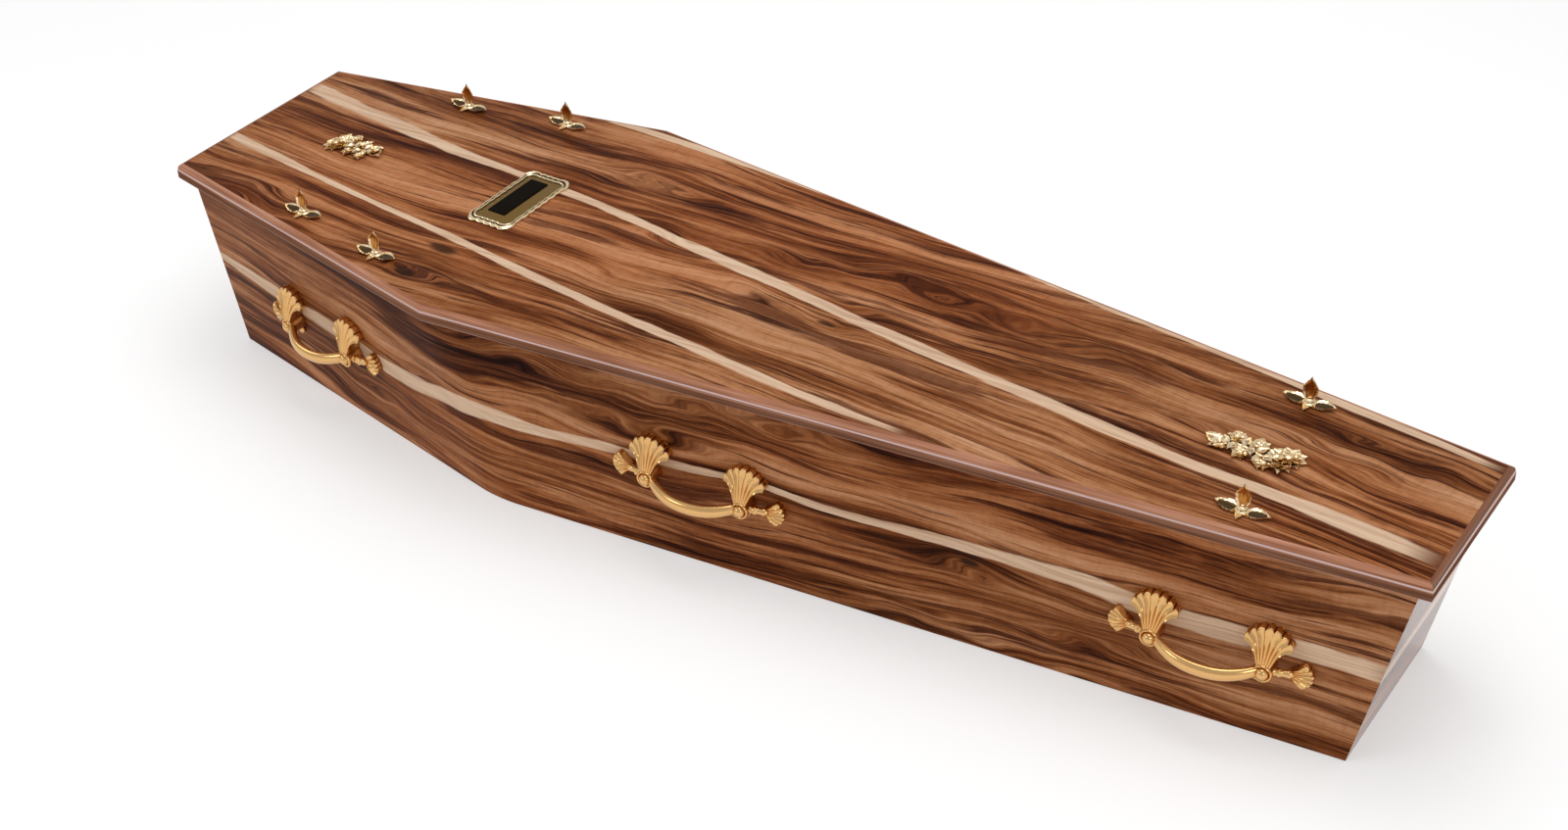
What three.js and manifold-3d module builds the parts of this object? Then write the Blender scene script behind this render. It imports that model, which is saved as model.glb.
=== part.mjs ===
import * as THREE from 'three';
import { mergeVertices } from 'three/addons/utils/BufferGeometryUtils.js';
import Module from 'manifold-3d';

const wasm = await Module();
wasm.setup();

// Millimetres. +X points to the foot end, -Y to the side that is seen first, +Z up.
// The origin is on the floor under the middle of the lid.

// Lid outline and boards.
const LID_LENGTH = 1960;
const LID_HEAD_HALF = 178;
const LID_SHOULDER_HALF = 287;
const LID_FOOT_HALF = 133;
const SHOULDER_FROM_HEAD = 580;
const LID_THICK = 24;
const LID_ROUNDING = 7;
const LID_ROUNDING_STEPS = 3;
const LID_LOWER_ARRIS = 1.5;
const LID_OVERHANG = 17.3;
const BOX_HEIGHT = 294;
const BOARD_THICK = 18;
const FIT_GAP = 0.3;

// How far each panel leans inward from the lid down to the floor.
const LEAN_HEAD_END = 32;
const LEAN_HEAD_SIDE = 22;
const LEAN_FOOT_SIDE = 0.5;
const LEAN_FOOT_END = 58.5;

// The side boards bend softly at the shoulder.
const BEND_REACH = 38;
const BEND_STEPS = 4;

// Handles: two shells, a bow between them and a small shell at each end.
const HANDLE_SPACING = 144;
const HANDLE_HEAD_RISE = 127;
const HANDLE_WAIST_RISE = 136;
const HANDLE_FOOT_RISE = 124;
const HANDLE_HEAD_AT = 0.416;
const HANDLE_WAIST_AT = 0.277;
const HANDLE_FOOT_AT = 0.855;
const HANDLE_HEAD_TILT = 0.045;
const HANDLE_WAIST_TILT = -0.045;
const HANDLE_FOOT_TILT = -0.02;
const SHELL_FOOT_RADIUS = 12;
const SHELL_RADIUS = 64;
const SHELL_ORIGIN_DROP = 2;
const SHELL_HALF_ANGLE = 0.62;
const SHELL_WAIST = 0.2;
const SHELL_RIBS = 6;
const SHELL_ROWS = 2;
const SHELL_SCALLOP = 3.5;
const SHELL_ROUNDING = 0.2;
const SHELL_FOOT_STANDOFF = 24;
const SHELL_RIM_STANDOFF = 11;
const SHELL_HOLLOW = -1;
const SHELL_FLUTE = 2.2;
const BOSS_RADIUS = 13;
const BOSS_RIM_HEIGHT = 22;
const BOSS_DOME_RADIUS = 7;
const BOSS_DOME_HEIGHT = 31;
const BOSS_SIDES = 8;
const BAR_STANDOFF = 18;
const BAR_HALF_WIDTH = 10;
const BAR_HALF_DEPTH = 7;
const BAR_SIDES = 6;
const BAR_STEPS = 8;
const BAR_INSET = 5;
const BOW_OUT = 26;
const BOW_DROP = 7;
const BOW_SQUARENESS = 2.3;
const ARM_LENGTH = 36;
const ARM_HALF_WIDTH = 6;
const ARM_STANDOFF = 8;
const ARM_STEPS = 1;
const FINIAL_RADIUS = 33;
const FINIAL_FOOT_RADIUS = 5;
const FINIAL_HALF_ANGLE = 0.62;
const FINIAL_RIBS = 3;
const FINIAL_ROWS = 1;
const FINIAL_SCALLOP = 2.2;
const FINIAL_FOOT_STANDOFF = 9;
const FINIAL_RIM_STANDOFF = 10;
const FINIAL_HOLLOW = -2.5;
const FINIAL_FLUTE = 1.2;
const FINIAL_AT = 26;

// Wreath holders: a leaf-shaped base plate with a thumb screw through it.
const HOLDER_HEAD_EDGE = 43;
const HOLDER_FOOT_EDGE = 40;
const HOLDER_HEAD_FIRST = 270;
const HOLDER_HEAD_SECOND = 440;
const HOLDER_FOOT_NEAR = 1719;
const HOLDER_FOOT_FAR = 1697;
const WING_LENGTH = 29;
const WING_WIDTH = 19;
const WING_START = 7;
const WING_LIFT = 5;
const WING_THICK = 2.2;
const WING_RIM = 2.4;
const WING_STEPS = 3;
const PETAL_LENGTH = 19;
const PETAL_WIDTH = 10;
const PETAL_RIM = 1.2;
const PETAL_STEPS = 2;
const LEAF_FULLNESS = 0.75;
const LEAF_TIP_HALF = 0.8;
const COLLAR_RADIUS = 9;
const COLLAR_HEIGHT = 5;
const COLLAR_SIDES = 8;
const STEM_RADIUS = 2.4;
const STEM_HOLE_RADIUS = 2.8;
const STEM_DEPTH = 12;
const STEM_HOLE_DEPTH = 14;
const STEM_SIDES = 6;
const BORE_CLEAR = 1;
const SCREW_COLLAR_RADIUS = 6;
const SCREW_COLLAR_HEIGHT = 4;
const TAB_HEIGHT = 34;
const TAB_FOOT_HALF = 3.5;
const TAB_HALF_WIDTH = 10.5;
const TAB_FOOT_SHARE = 0.2;
const TAB_FULLNESS = 1.25;
const TAB_CUP = 3;
const TAB_COLUMNS = 4;
const TAB_ROWS = 3;
const TAB_HALF_THICK = 1.6;

// Nameplate: a plate with a raised scrolled border and a black panel.
const PLATE_FROM_HEAD = 520;
const PLATE_ASIDE = 3;
const PLATE_HALF_LENGTH = 76;
const PLATE_HALF_WIDTH = 37;
const PLATE_BASE_THICK = 1.6;
const PLATE_BORDER = 12;
const PLATE_BORDER_HEIGHT = 5;
const PLATE_CREST_AT = 0.45;
const PLATE_STEPS = 32;
const PLATE_SQUARENESS = 8;
const PLATE_EAR = 3.2;
const PLATE_EARS = 4;
const PLATE_SCROLL = 1.6;
const PLATE_SCROLL_WAVES = 8;
const PLATE_SCROLL_FINE = 1;
const PLATE_SCROLL_FINE_WAVES = 16;
const PANEL_TO_HEAD = 6;
const PANEL_ASIDE = 5;
const PANEL_LENGTH = 100;
const PANEL_WIDTH = 31;
const PANEL_THICK = 1;
const PANEL_BEVEL = 0.4;

// Flower sprays: leaves and blossoms on a stem, with one round rose at the end.
const SPRAY_FROM_FOOT = 280;
const SPRAY_FROM_HEAD = 206;
const SPRAY_FOOT_ASIDE = -2;
const SPRAY_HEAD_ASIDE = -7;
const SPRAY_HALF_LENGTH = 46;
const SPRAY_BOW = 9;
const SPRAY_STEM_START = -18;
const SPRAY_STEM_RISE = 26;
const SPRAY_HEAD_SHORTENED = 0.78;
const SPRAY_STEM_HALF_WIDTH = 3;
const SPRAY_STEM_HEIGHT = 3.4;
const SPRAY_STEM_STEPS = 3;
const SPRAY_LEAVES = 8;
const SPRAY_LEAF_LENGTH = 32;
const SPRAY_LEAF_WIDTH = 17;
const SPRAY_LEAF_HEIGHT = 3.2;
const SPRAY_FIRST_TURN = 2.7;
const SPRAY_LAST_TURN = 0.75;
const SPRAY_LEAF_STEPS = 3;
const SPRAY_FIRST_LEAF = 0.1;
const SPRAY_LAST_LEAF = 0.86;
const SPRAY_UNDER_LEAVES = 2;
const SPRAY_UNDER_LEAF_AT = 0.9;
const SPRAY_UNDER_LEAF_TURN = -1.35;
const SPRAY_UNDER_LEAF_SPREAD = -0.6;
const SPRAY_BLOSSOMS = 3;
const SPRAY_BLOSSOM_RADIUS = 12;
const SPRAY_BLOSSOM_HEIGHT = 5.6;
const SPRAY_BLOSSOM_PETALS = 4;
const SPRAY_BLOSSOM_OFFSET = 15;
const SPRAY_FIRST_BLOSSOM = 0.2;
const SPRAY_LAST_BLOSSOM = 0.74;
const SPRAY_ROSE_RADIUS = 20;
const SPRAY_ROSE_HEIGHT = 7.5;
const SPRAY_ROSE_PETALS = 6;
const SPRAY_PETAL_DEPTH = 0.2;
const SPRAY_PETAL_DIP = 0.45;
const SPRAY_HEART_RADIUS = 0.4;

const HEAD_X = -LID_LENGTH / 2;
const FOOT_X = LID_LENGTH / 2;
const LID_TOP = BOX_HEIGHT + LID_THICK;
const PLATE_X = HEAD_X + PLATE_FROM_HEAD;
const PANEL_X = PLATE_X - PANEL_TO_HEAD;
const PANEL_Y = PLATE_ASIDE + PANEL_ASIDE;
const SPRAY_FOOT_X = FOOT_X - SPRAY_FROM_FOOT;
const SPRAY_HEAD_X = HEAD_X + SPRAY_FROM_HEAD;

// Solid helpers. Every solid is a closed surface of plain triangles.
function closedGeometry(points, faces) {
  let volume = 0;
  for (const [a, b, c] of faces) {
    volume += points[a].dot(points[b].clone().cross(points[c]));
  }
  const outward = volume < 0 ? faces.map(([a, b, c]) => [a, c, b]) : faces;
  const geometry = new THREE.BufferGeometry();
  const positions = points.flatMap((p) => [p.x, p.y, p.z]);
  geometry.setAttribute('position', new THREE.Float32BufferAttribute(positions, 3));
  geometry.setIndex(outward.flat());
  return geometry;
}

// Fills a flat ring with triangles whose outer edges run forward or backward round it.
function capFaces(ring, flatten, forward) {
  const faces = THREE.ShapeUtils.triangulateShape(ring.map(flatten), []);
  const follows = (face) => face.some((a, k) => face[(k + 1) % 3] === (a + 1) % ring.length);
  if (faces.some(follows) === forward) return faces;
  return faces.map(([a, b, c]) => [a, c, b]);
}

// Joins rings of equal length into one solid with flat ends.
function loft(rings, flatten) {
  const count = rings[0].length;
  const faces = [];
  for (let r = 0; r + 1 < rings.length; r += 1) {
    const low = r * count;
    const high = low + count;
    for (let i = 0; i < count; i += 1) {
      const j = (i + 1) % count;
      faces.push([low + i, low + j, high + j]);
      faces.push([low + i, high + j, high + i]);
    }
  }
  const last = (rings.length - 1) * count;
  faces.push(...capFaces(rings[0], flatten, false));
  for (const face of capFaces(rings[rings.length - 1], flatten, true)) {
    faces.push(face.map((index) => index + last));
  }
  return closedGeometry(rings.flat(), faces);
}

// A relief: a grid of points on top, a back under it, and a wall round them. A flat back
// needs only its outline; any other back repeats the grid.
function relief(columns, rows, topAt, backAt, flatBack) {
  const points = [];
  const faces = [];
  const top = (i, j) => j * (columns + 1) + i;
  const edge = [];
  for (let i = 0; i < columns; i += 1) edge.push([i, 0]);
  for (let j = 0; j < rows; j += 1) edge.push([columns, j]);
  for (let i = columns; i > 0; i -= 1) edge.push([i, rows]);
  for (let j = rows; j > 0; j -= 1) edge.push([0, j]);
  for (let j = 0; j <= rows; j += 1) {
    for (let i = 0; i <= columns; i += 1) points.push(topAt(i, j));
  }
  const start = points.length;
  const backOf = (i, j, k) => start + (flatBack ? k % edge.length : top(i, j));
  if (flatBack) {
    const ring = edge.map(([i, j]) => backAt(i, j));
    points.push(...ring);
    for (const face of capFaces(ring, (p) => new THREE.Vector2(p.x, p.y), false)) {
      faces.push(face.map((index) => index + start));
    }
  } else {
    for (let j = 0; j <= rows; j += 1) {
      for (let i = 0; i <= columns; i += 1) points.push(backAt(i, j));
    }
  }
  for (let j = 0; j < rows; j += 1) {
    for (let i = 0; i < columns; i += 1) {
      const quad = [top(i, j), top(i + 1, j), top(i + 1, j + 1), top(i, j + 1)];
      faces.push([quad[0], quad[1], quad[2]], [quad[0], quad[2], quad[3]]);
      if (!flatBack) {
        const under = quad.map((index) => index + start);
        faces.push([under[0], under[2], under[1]], [under[0], under[3], under[2]]);
      }
    }
  }
  edge.forEach(([i, j], k) => {
    const [ni, nj] = edge[(k + 1) % edge.length];
    faces.push([top(i, j), backOf(i, j, k), backOf(ni, nj, k + 1)]);
    faces.push([top(i, j), backOf(ni, nj, k + 1), top(ni, nj)]);
  });
  return closedGeometry(points, faces);
}

// A turned shape: half profile points of radius and height, closed on the axis.
function turned(profile, sides) {
  const rings = profile.map(([radius, height]) => {
    const ring = [];
    for (let k = 0; k < sides; k += 1) {
      const angle = (2 * Math.PI * k) / sides;
      const x = radius * Math.cos(angle);
      const y = radius * Math.sin(angle);
      ring.push(new THREE.Vector3(x, y, height));
    }
    return ring;
  });
  return loft(rings, (p) => new THREE.Vector2(p.x, p.y));
}

function toManifold(geometry) {
  const plain = mergeVertices(geometry);
  const vertProperties = new Float32Array(plain.attributes.position.array);
  const triVerts = new Uint32Array(plain.index.array);
  return new wasm.Manifold(new wasm.Mesh({ numProp: 3, vertProperties, triVerts }));
}

function fromManifold(manifold) {
  const mesh = manifold.getMesh();
  const geometry = new THREE.BufferGeometry();
  const positions = new Float32Array(mesh.vertProperties);
  geometry.setAttribute('position', new THREE.BufferAttribute(positions, 3));
  geometry.setIndex(new THREE.BufferAttribute(new Uint32Array(mesh.triVerts), 1));
  return geometry;
}

function joined(geometries) {
  const solids = geometries.map(toManifold);
  return fromManifold(solids.reduce((whole, next) => whole.add(next)));
}

function cutFrom(geometry, tools) {
  const solids = tools.map(toManifold);
  return fromManifold(solids.reduce((whole, next) => whole.subtract(next), toManifold(geometry)));
}

const part = new THREE.Group();
part.name = 'wooden_coffin';

function addPiece(name, geometry, color, roughness, metalness) {
  const material = new THREE.MeshStandardMaterial({ color, roughness, metalness });
  const mesh = new THREE.Mesh(geometry, material);
  mesh.name = name;
  part.add(mesh);
}

const WALNUT = '#7d4e2e';
const GOLD = '#d9a04a';
const BLACK = '#15120f';
const VENEER_ROUGHNESS = 0.3;
const GOLD_ROUGHNESS = 0.25;
const PANEL_ROUGHNESS = 0.4;

const addWood = (name, geometry) => addPiece(name, geometry, WALNUT, VENEER_ROUGHNESS, 0);
const addGold = (name, geometry) => addPiece(name, geometry, GOLD, GOLD_ROUGHNESS, 1);

// Plan of the -Y half: head corner, shoulder and foot corner, each line moved inward.
const LID_HEAD = new THREE.Vector2(HEAD_X, -LID_HEAD_HALF);
const LID_SHOULDER = new THREE.Vector2(HEAD_X + SHOULDER_FROM_HEAD, -LID_SHOULDER_HALF);
const LID_FOOT = new THREE.Vector2(FOOT_X, -LID_FOOT_HALF);

function movedLine(from, to, inset) {
  const along = to.clone().sub(from).normalize();
  const inward = new THREE.Vector2(-along.y, along.x).multiplyScalar(inset);
  return { at: from.clone().add(inward), along };
}

function meet(first, second) {
  const gap = second.at.clone().sub(first.at);
  const t = gap.cross(second.along) / first.along.cross(second.along);
  return first.at.clone().addScaledVector(first.along, t);
}

function planCorners(inset) {
  const headSide = movedLine(LID_HEAD, LID_SHOULDER, inset.headSide);
  const footSide = movedLine(LID_SHOULDER, LID_FOOT, inset.footSide);
  const across = new THREE.Vector2(0, 1);
  const headEnd = { at: new THREE.Vector2(HEAD_X + inset.headEnd, 0), along: across };
  const footEnd = { at: new THREE.Vector2(FOOT_X - inset.footEnd, 0), along: across };
  return {
    head: meet(headSide, headEnd),
    shoulder: meet(headSide, footSide),
    foot: meet(footSide, footEnd),
  };
}

// Insets of the box surface at height z, `side` and `end` deep into the boards.
function boxInset(z, side, end) {
  const lean = 1 - z / BOX_HEIGHT;
  return {
    headEnd: LID_OVERHANG + LEAN_HEAD_END * lean + end,
    headSide: LID_OVERHANG + LEAN_HEAD_SIDE * lean + side,
    footSide: LID_OVERHANG + LEAN_FOOT_SIDE * lean + side,
    footEnd: LID_OVERHANG + LEAN_FOOT_END * lean + end,
  };
}

// The side line from head to foot with the soft bend at the shoulder.
function sideLine(inset) {
  const { head, shoulder, foot } = planCorners(inset);
  const toHead = head.clone().sub(shoulder).normalize().multiplyScalar(BEND_REACH);
  const toFoot = foot.clone().sub(shoulder).normalize().multiplyScalar(BEND_REACH);
  const bend = new THREE.QuadraticBezierCurve(
    shoulder.clone().add(toHead),
    shoulder,
    shoulder.clone().add(toFoot),
  );
  return [head, ...bend.getPoints(BEND_STEPS), foot];
}

const at = (p, z, side) => new THREE.Vector3(p.x, p.y * side, z);

function closedOutline(line, z) {
  const near = line.map((p) => at(p, z, 1));
  const far = line.map((p) => at(p, z, -1)).reverse();
  return [...near, ...far];
}

function sideBoard(side) {
  const top = BOX_HEIGHT - FIT_GAP;
  const outerLow = sideLine(boxInset(0, 0, 0));
  const outerHigh = sideLine(boxInset(top, 0, 0));
  const innerLow = sideLine(boxInset(0, BOARD_THICK, 0));
  const innerHigh = sideLine(boxInset(top, BOARD_THICK, 0));
  const rings = outerLow.map((p, k) => [
    at(p, 0, side),
    at(outerHigh[k], top, side),
    at(innerHigh[k], top, side),
    at(innerLow[k], 0, side),
  ]);
  return loft(rings, (p) => new THREE.Vector2(p.y, p.z));
}

function endBoard(end) {
  const top = BOX_HEIGHT - FIT_GAP;
  const ring = (z) => {
    const outer = planCorners(boxInset(z, BOARD_THICK + FIT_GAP, 0))[end];
    const inner = planCorners(boxInset(z, BOARD_THICK + FIT_GAP, BOARD_THICK))[end];
    return [at(outer, z, 1), at(inner, z, 1), at(inner, z, -1), at(outer, z, -1)];
  };
  return loft([ring(0), ring(top)], (p) => new THREE.Vector2(p.x, p.y));
}

function baseBoard() {
  const clear = BOARD_THICK + FIT_GAP;
  const rings = [0, BOARD_THICK].map((z) => closedOutline(sideLine(boxInset(z, clear, clear)), z));
  return loft(rings, (p) => new THREE.Vector2(p.x, p.y));
}

function lidRing(inset, z) {
  const all = { headEnd: inset, headSide: inset, footSide: inset, footEnd: inset };
  const { head, shoulder, foot } = planCorners(all);
  return closedOutline([head, shoulder, foot], z);
}

function lidBoard() {
  const rings = [lidRing(LID_LOWER_ARRIS, BOX_HEIGHT), lidRing(0, BOX_HEIGHT + LID_LOWER_ARRIS)];
  for (let k = 0; k <= LID_ROUNDING_STEPS; k += 1) {
    const turn = (k * Math.PI) / 2 / LID_ROUNDING_STEPS;
    const inset = LID_ROUNDING * (1 - Math.cos(turn));
    rings.push(lidRing(inset, LID_TOP - LID_ROUNDING * (1 - Math.sin(turn))));
  }
  return loft(rings, (p) => new THREE.Vector2(p.x, p.y));
}

// A fan of ribs that opens along +X of its own frame and lies on its XY plane.
function fan(shape) {
  const columns = 2 * shape.ribs;
  const topAt = (i, j) => {
    const crest = i % 2 === 1 ? 1 : -1;
    const reach = j / shape.rows;
    const waist = 1 - shape.waist * Math.sin(Math.PI * reach);
    const angle = shape.halfAngle * ((2 * i) / columns - 1) * waist;
    const scallop = (shape.scallop * crest - shape.scallop) * reach;
    const rounding = 1 - shape.rounding * (angle / shape.halfAngle) ** 2 * reach;
    const radius = (shape.foot + (shape.radius - shape.foot) * reach) * rounding + scallop;
    const hollow = shape.hollow * Math.sin(Math.PI * reach);
    const rise = shape.footHeight + (shape.rimHeight - shape.footHeight) * reach;
    const height = rise - hollow + shape.flute * crest * Math.min(1, 2 * reach);
    return new THREE.Vector3(radius * Math.cos(angle), radius * Math.sin(angle), height);
  };
  const backAt = (i, j) => {
    const p = topAt(i, j);
    return new THREE.Vector3(p.x, p.y, shape.back);
  };
  return relief(columns, shape.rows, topAt, backAt, true);
}

function placed(geometry, turn, x, y, z) {
  return geometry.rotateZ(turn).translate(x, y, z);
}

function handleShell(side) {
  const shell = fan({
    ribs: SHELL_RIBS,
    rows: SHELL_ROWS,
    halfAngle: SHELL_HALF_ANGLE,
    waist: SHELL_WAIST,
    radius: SHELL_RADIUS,
    foot: SHELL_FOOT_RADIUS,
    scallop: SHELL_SCALLOP / 2,
    rounding: SHELL_ROUNDING,
    footHeight: SHELL_FOOT_STANDOFF,
    rimHeight: SHELL_RIM_STANDOFF,
    hollow: SHELL_HOLLOW,
    flute: SHELL_FLUTE,
    back: FIT_GAP,
  });
  return placed(shell, Math.PI / 2, (side * HANDLE_SPACING) / 2, -SHELL_ORIGIN_DROP, 0);
}

function handleFinial(side) {
  const shell = fan({
    ribs: FINIAL_RIBS,
    rows: FINIAL_ROWS,
    halfAngle: FINIAL_HALF_ANGLE,
    waist: 0,
    radius: FINIAL_RADIUS,
    foot: FINIAL_FOOT_RADIUS,
    scallop: FINIAL_SCALLOP / 2,
    rounding: SHELL_ROUNDING,
    footHeight: FINIAL_FOOT_STANDOFF,
    rimHeight: FINIAL_RIM_STANDOFF,
    hollow: FINIAL_HOLLOW,
    flute: FINIAL_FLUTE,
    back: FIT_GAP,
  });
  const turn = side > 0 ? 0 : Math.PI;
  return placed(shell, turn, side * (HANDLE_SPACING / 2 + FINIAL_AT), 0, 0);
}

function handleBoss(side) {
  const boss = turned(
    [
      [BOSS_RADIUS, FIT_GAP],
      [BOSS_RADIUS, BOSS_RIM_HEIGHT],
      [BOSS_DOME_RADIUS, BOSS_DOME_HEIGHT],
    ],
    BOSS_SIDES,
  );
  return boss.translate((side * HANDLE_SPACING) / 2, 0, 0);
}

function barRing(u, v, w, halfWidth, halfDepth, slope) {
  const ring = [];
  for (let k = 0; k < BAR_SIDES; k += 1) {
    const angle = (2 * Math.PI * (k + 1 / 2)) / BAR_SIDES;
    const depth = halfDepth * Math.sin(angle);
    const out = new THREE.Vector3(-slope, 0, 1).normalize().multiplyScalar(depth);
    ring.push(new THREE.Vector3(u, v + halfWidth * Math.cos(angle), w).add(out));
  }
  return ring;
}

// The bow leaves one boss, stands out from the panel and comes back to the other.
function handleBow() {
  const half = HANDLE_SPACING / 2 - BAR_INSET;
  const rings = [];
  for (let k = 0; k <= BAR_STEPS; k += 1) {
    const turn = Math.PI * (k / BAR_STEPS - 1 / 2);
    const u = half * Math.sin(turn);
    const reach = Math.abs(u / half) ** BOW_SQUARENESS;
    const slope = (-BOW_OUT * BOW_SQUARENESS * Math.abs(u / half) ** (BOW_SQUARENESS - 1)) / half;
    const w = BAR_STANDOFF + BOW_OUT * (1 - reach);
    const v = -BOW_DROP * (1 - reach);
    rings.push(barRing(u, v, w, BAR_HALF_WIDTH, BAR_HALF_DEPTH, slope * Math.sign(u)));
  }
  return loft(rings, (p) => new THREE.Vector2(p.y, p.z));
}

function handleArm(side) {
  const rings = [];
  const slope = (ARM_STANDOFF - BAR_STANDOFF) / ARM_LENGTH;
  for (let k = 0; k <= ARM_STEPS; k += 1) {
    const along = (ARM_LENGTH * k) / ARM_STEPS;
    const u = side * (HANDLE_SPACING / 2 + along);
    const w = BAR_STANDOFF + slope * along;
    rings.push(barRing(u, 0, w, ARM_HALF_WIDTH, ARM_HALF_WIDTH, slope * side));
  }
  return loft(rings, (p) => new THREE.Vector2(p.y, p.z));
}

function handle() {
  const sides = [-1, 1];
  return joined([
    handleBow(),
    ...sides.map(handleShell),
    ...sides.map(handleBoss),
    ...sides.map(handleArm),
    ...sides.map(handleFinial),
  ]);
}

// Frame on the outside of a side panel, `share` of the way along it and `height` up it,
// turned by `tilt` in the panel's plane.
function panelFrame(from, to, share, height, tilt, side) {
  const low = planCorners(boxInset(0, 0, 0));
  const high = planCorners(boxInset(BOX_HEIGHT, 0, 0));
  const start = at(low[from], 0, side);
  const finish = at(low[to], 0, side);
  const along = finish.clone().sub(start).normalize();
  const rise = at(high[from], BOX_HEIGHT, side).sub(start);
  const up = rise.addScaledVector(along, -rise.dot(along)).normalize();
  const u = along.clone().multiplyScalar(side);
  const out = u.clone().cross(up);
  const origin = start.lerp(finish, share).addScaledVector(up, height);
  const turn = new THREE.Matrix4().makeRotationZ(tilt * side);
  return new THREE.Matrix4().makeBasis(u, up, out).setPosition(origin).multiply(turn);
}

// Wreath holder: two hollow leaves, a small petal toward -Y and a collar for the screw.
function leafRelief(leaf) {
  const halfAt = (t) => (leaf.width / 2) * Math.sin(Math.PI * t ** LEAF_FULLNESS);
  const topAt = (i, j) => {
    const t = i / leaf.steps;
    const across = j - 1;
    const half = Math.max(halfAt(t), LEAF_TIP_HALF);
    const lift = leaf.lift * t * t + Math.abs(across) * leaf.rim;
    return new THREE.Vector3(leaf.start + leaf.length * t, half * across, leaf.thick + lift);
  };
  const backAt = (i, j) => {
    const p = topAt(i, j);
    return p.setZ(Math.max(FIT_GAP, p.z - leaf.thick));
  };
  return relief(leaf.steps, 2, topAt, backAt, false);
}

function holderPlate() {
  const wing = leafRelief({
    length: WING_LENGTH,
    width: WING_WIDTH,
    start: WING_START,
    thick: WING_THICK,
    lift: WING_LIFT,
    rim: WING_RIM,
    steps: WING_STEPS,
  });
  const petal = leafRelief({
    length: PETAL_LENGTH,
    width: PETAL_WIDTH,
    start: 0,
    thick: WING_THICK,
    lift: 0,
    rim: PETAL_RIM,
    steps: PETAL_STEPS,
  });
  const collar = turned([[COLLAR_RADIUS, FIT_GAP], [COLLAR_RADIUS, COLLAR_HEIGHT]], COLLAR_SIDES);
  const plate = joined([
    placed(wing.clone(), 0, 0, 0, 0),
    placed(wing.clone(), Math.PI, 0, 0, 0),
    placed(petal, -Math.PI / 2, 0, 0, 0),
    collar,
  ]);
  const low = [STEM_HOLE_RADIUS, -BORE_CLEAR];
  const high = [STEM_HOLE_RADIUS, COLLAR_HEIGHT + BORE_CLEAR];
  return cutFrom(plate, [turned([low, high], STEM_SIDES)]);
}

// Thumb screw: a stem into the lid, a collar on the plate and an upright ribbed leaf.
function thumbScrew() {
  const seat = COLLAR_HEIGHT + FIT_GAP;
  const tab = tabLeaf(seat + SCREW_COLLAR_HEIGHT / 2);
  const body = turned(
    [
      [STEM_RADIUS, -STEM_DEPTH],
      [STEM_RADIUS, seat],
      [SCREW_COLLAR_RADIUS, seat],
      [TAB_FOOT_HALF, seat + SCREW_COLLAR_HEIGHT],
    ],
    STEM_SIDES,
  );
  return joined([body, tab]);
}

// The upright leaf is cupped toward -Y and ribbed down its middle.
function tabLeaf(foot) {
  const pointAt = (face) => (i, j) => {
    const across = (2 * i) / TAB_COLUMNS - 1;
    const t = j / TAB_ROWS;
    const share = TAB_FOOT_SHARE + (1 - TAB_FOOT_SHARE) * t;
    const half = Math.max(TAB_HALF_WIDTH * Math.sin(Math.PI * share ** TAB_FULLNESS), LEAF_TIP_HALF);
    const cup = TAB_CUP * Math.sin(Math.PI * t) * (1 - across * across);
    const thick = TAB_HALF_THICK * (1 - t / 2);
    return new THREE.Vector3(half * across, cup - face * thick, foot + TAB_HEIGHT * t);
  };
  return relief(TAB_COLUMNS, TAB_ROWS, pointAt(1), pointAt(-1), false);
}

// Nameplate outline: a soft rectangle with scrolls round it.
function plateRing(shrink, z) {
  const ring = [];
  for (let k = 0; k < PLATE_STEPS; k += 1) {
    const angle = (2 * Math.PI * k) / PLATE_STEPS;
    const power = 2 / PLATE_SQUARENESS;
    const cos = Math.cos(angle);
    const sin = Math.sin(angle);
    const large = PLATE_SCROLL * Math.cos(PLATE_SCROLL_WAVES * angle);
    const fine = PLATE_SCROLL_FINE * Math.cos(PLATE_SCROLL_FINE_WAVES * angle);
    const ear = -PLATE_EAR * Math.cos(PLATE_EARS * angle);
    const scroll = (ear + large + fine) * Math.max(0, 1 - shrink / PLATE_BORDER);
    const x = Math.sign(cos) * Math.abs(cos) ** power * (PLATE_HALF_WIDTH - shrink) + scroll * cos;
    const y = Math.sign(sin) * Math.abs(sin) ** power * (PLATE_HALF_LENGTH - shrink) + scroll * sin;
    ring.push(new THREE.Vector3(PLATE_X + x, PLATE_ASIDE + y, z));
  }
  return ring;
}

function nameplate() {
  const low = LID_TOP + FIT_GAP;
  const rings = [
    plateRing(0, low),
    plateRing(0, low + PLATE_BASE_THICK),
    plateRing(PLATE_BORDER * PLATE_CREST_AT, low + PLATE_BORDER_HEIGHT),
    plateRing(PLATE_BORDER, low + PLATE_BASE_THICK),
  ];
  return loft(rings, (p) => new THREE.Vector2(p.x, p.y));
}

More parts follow.
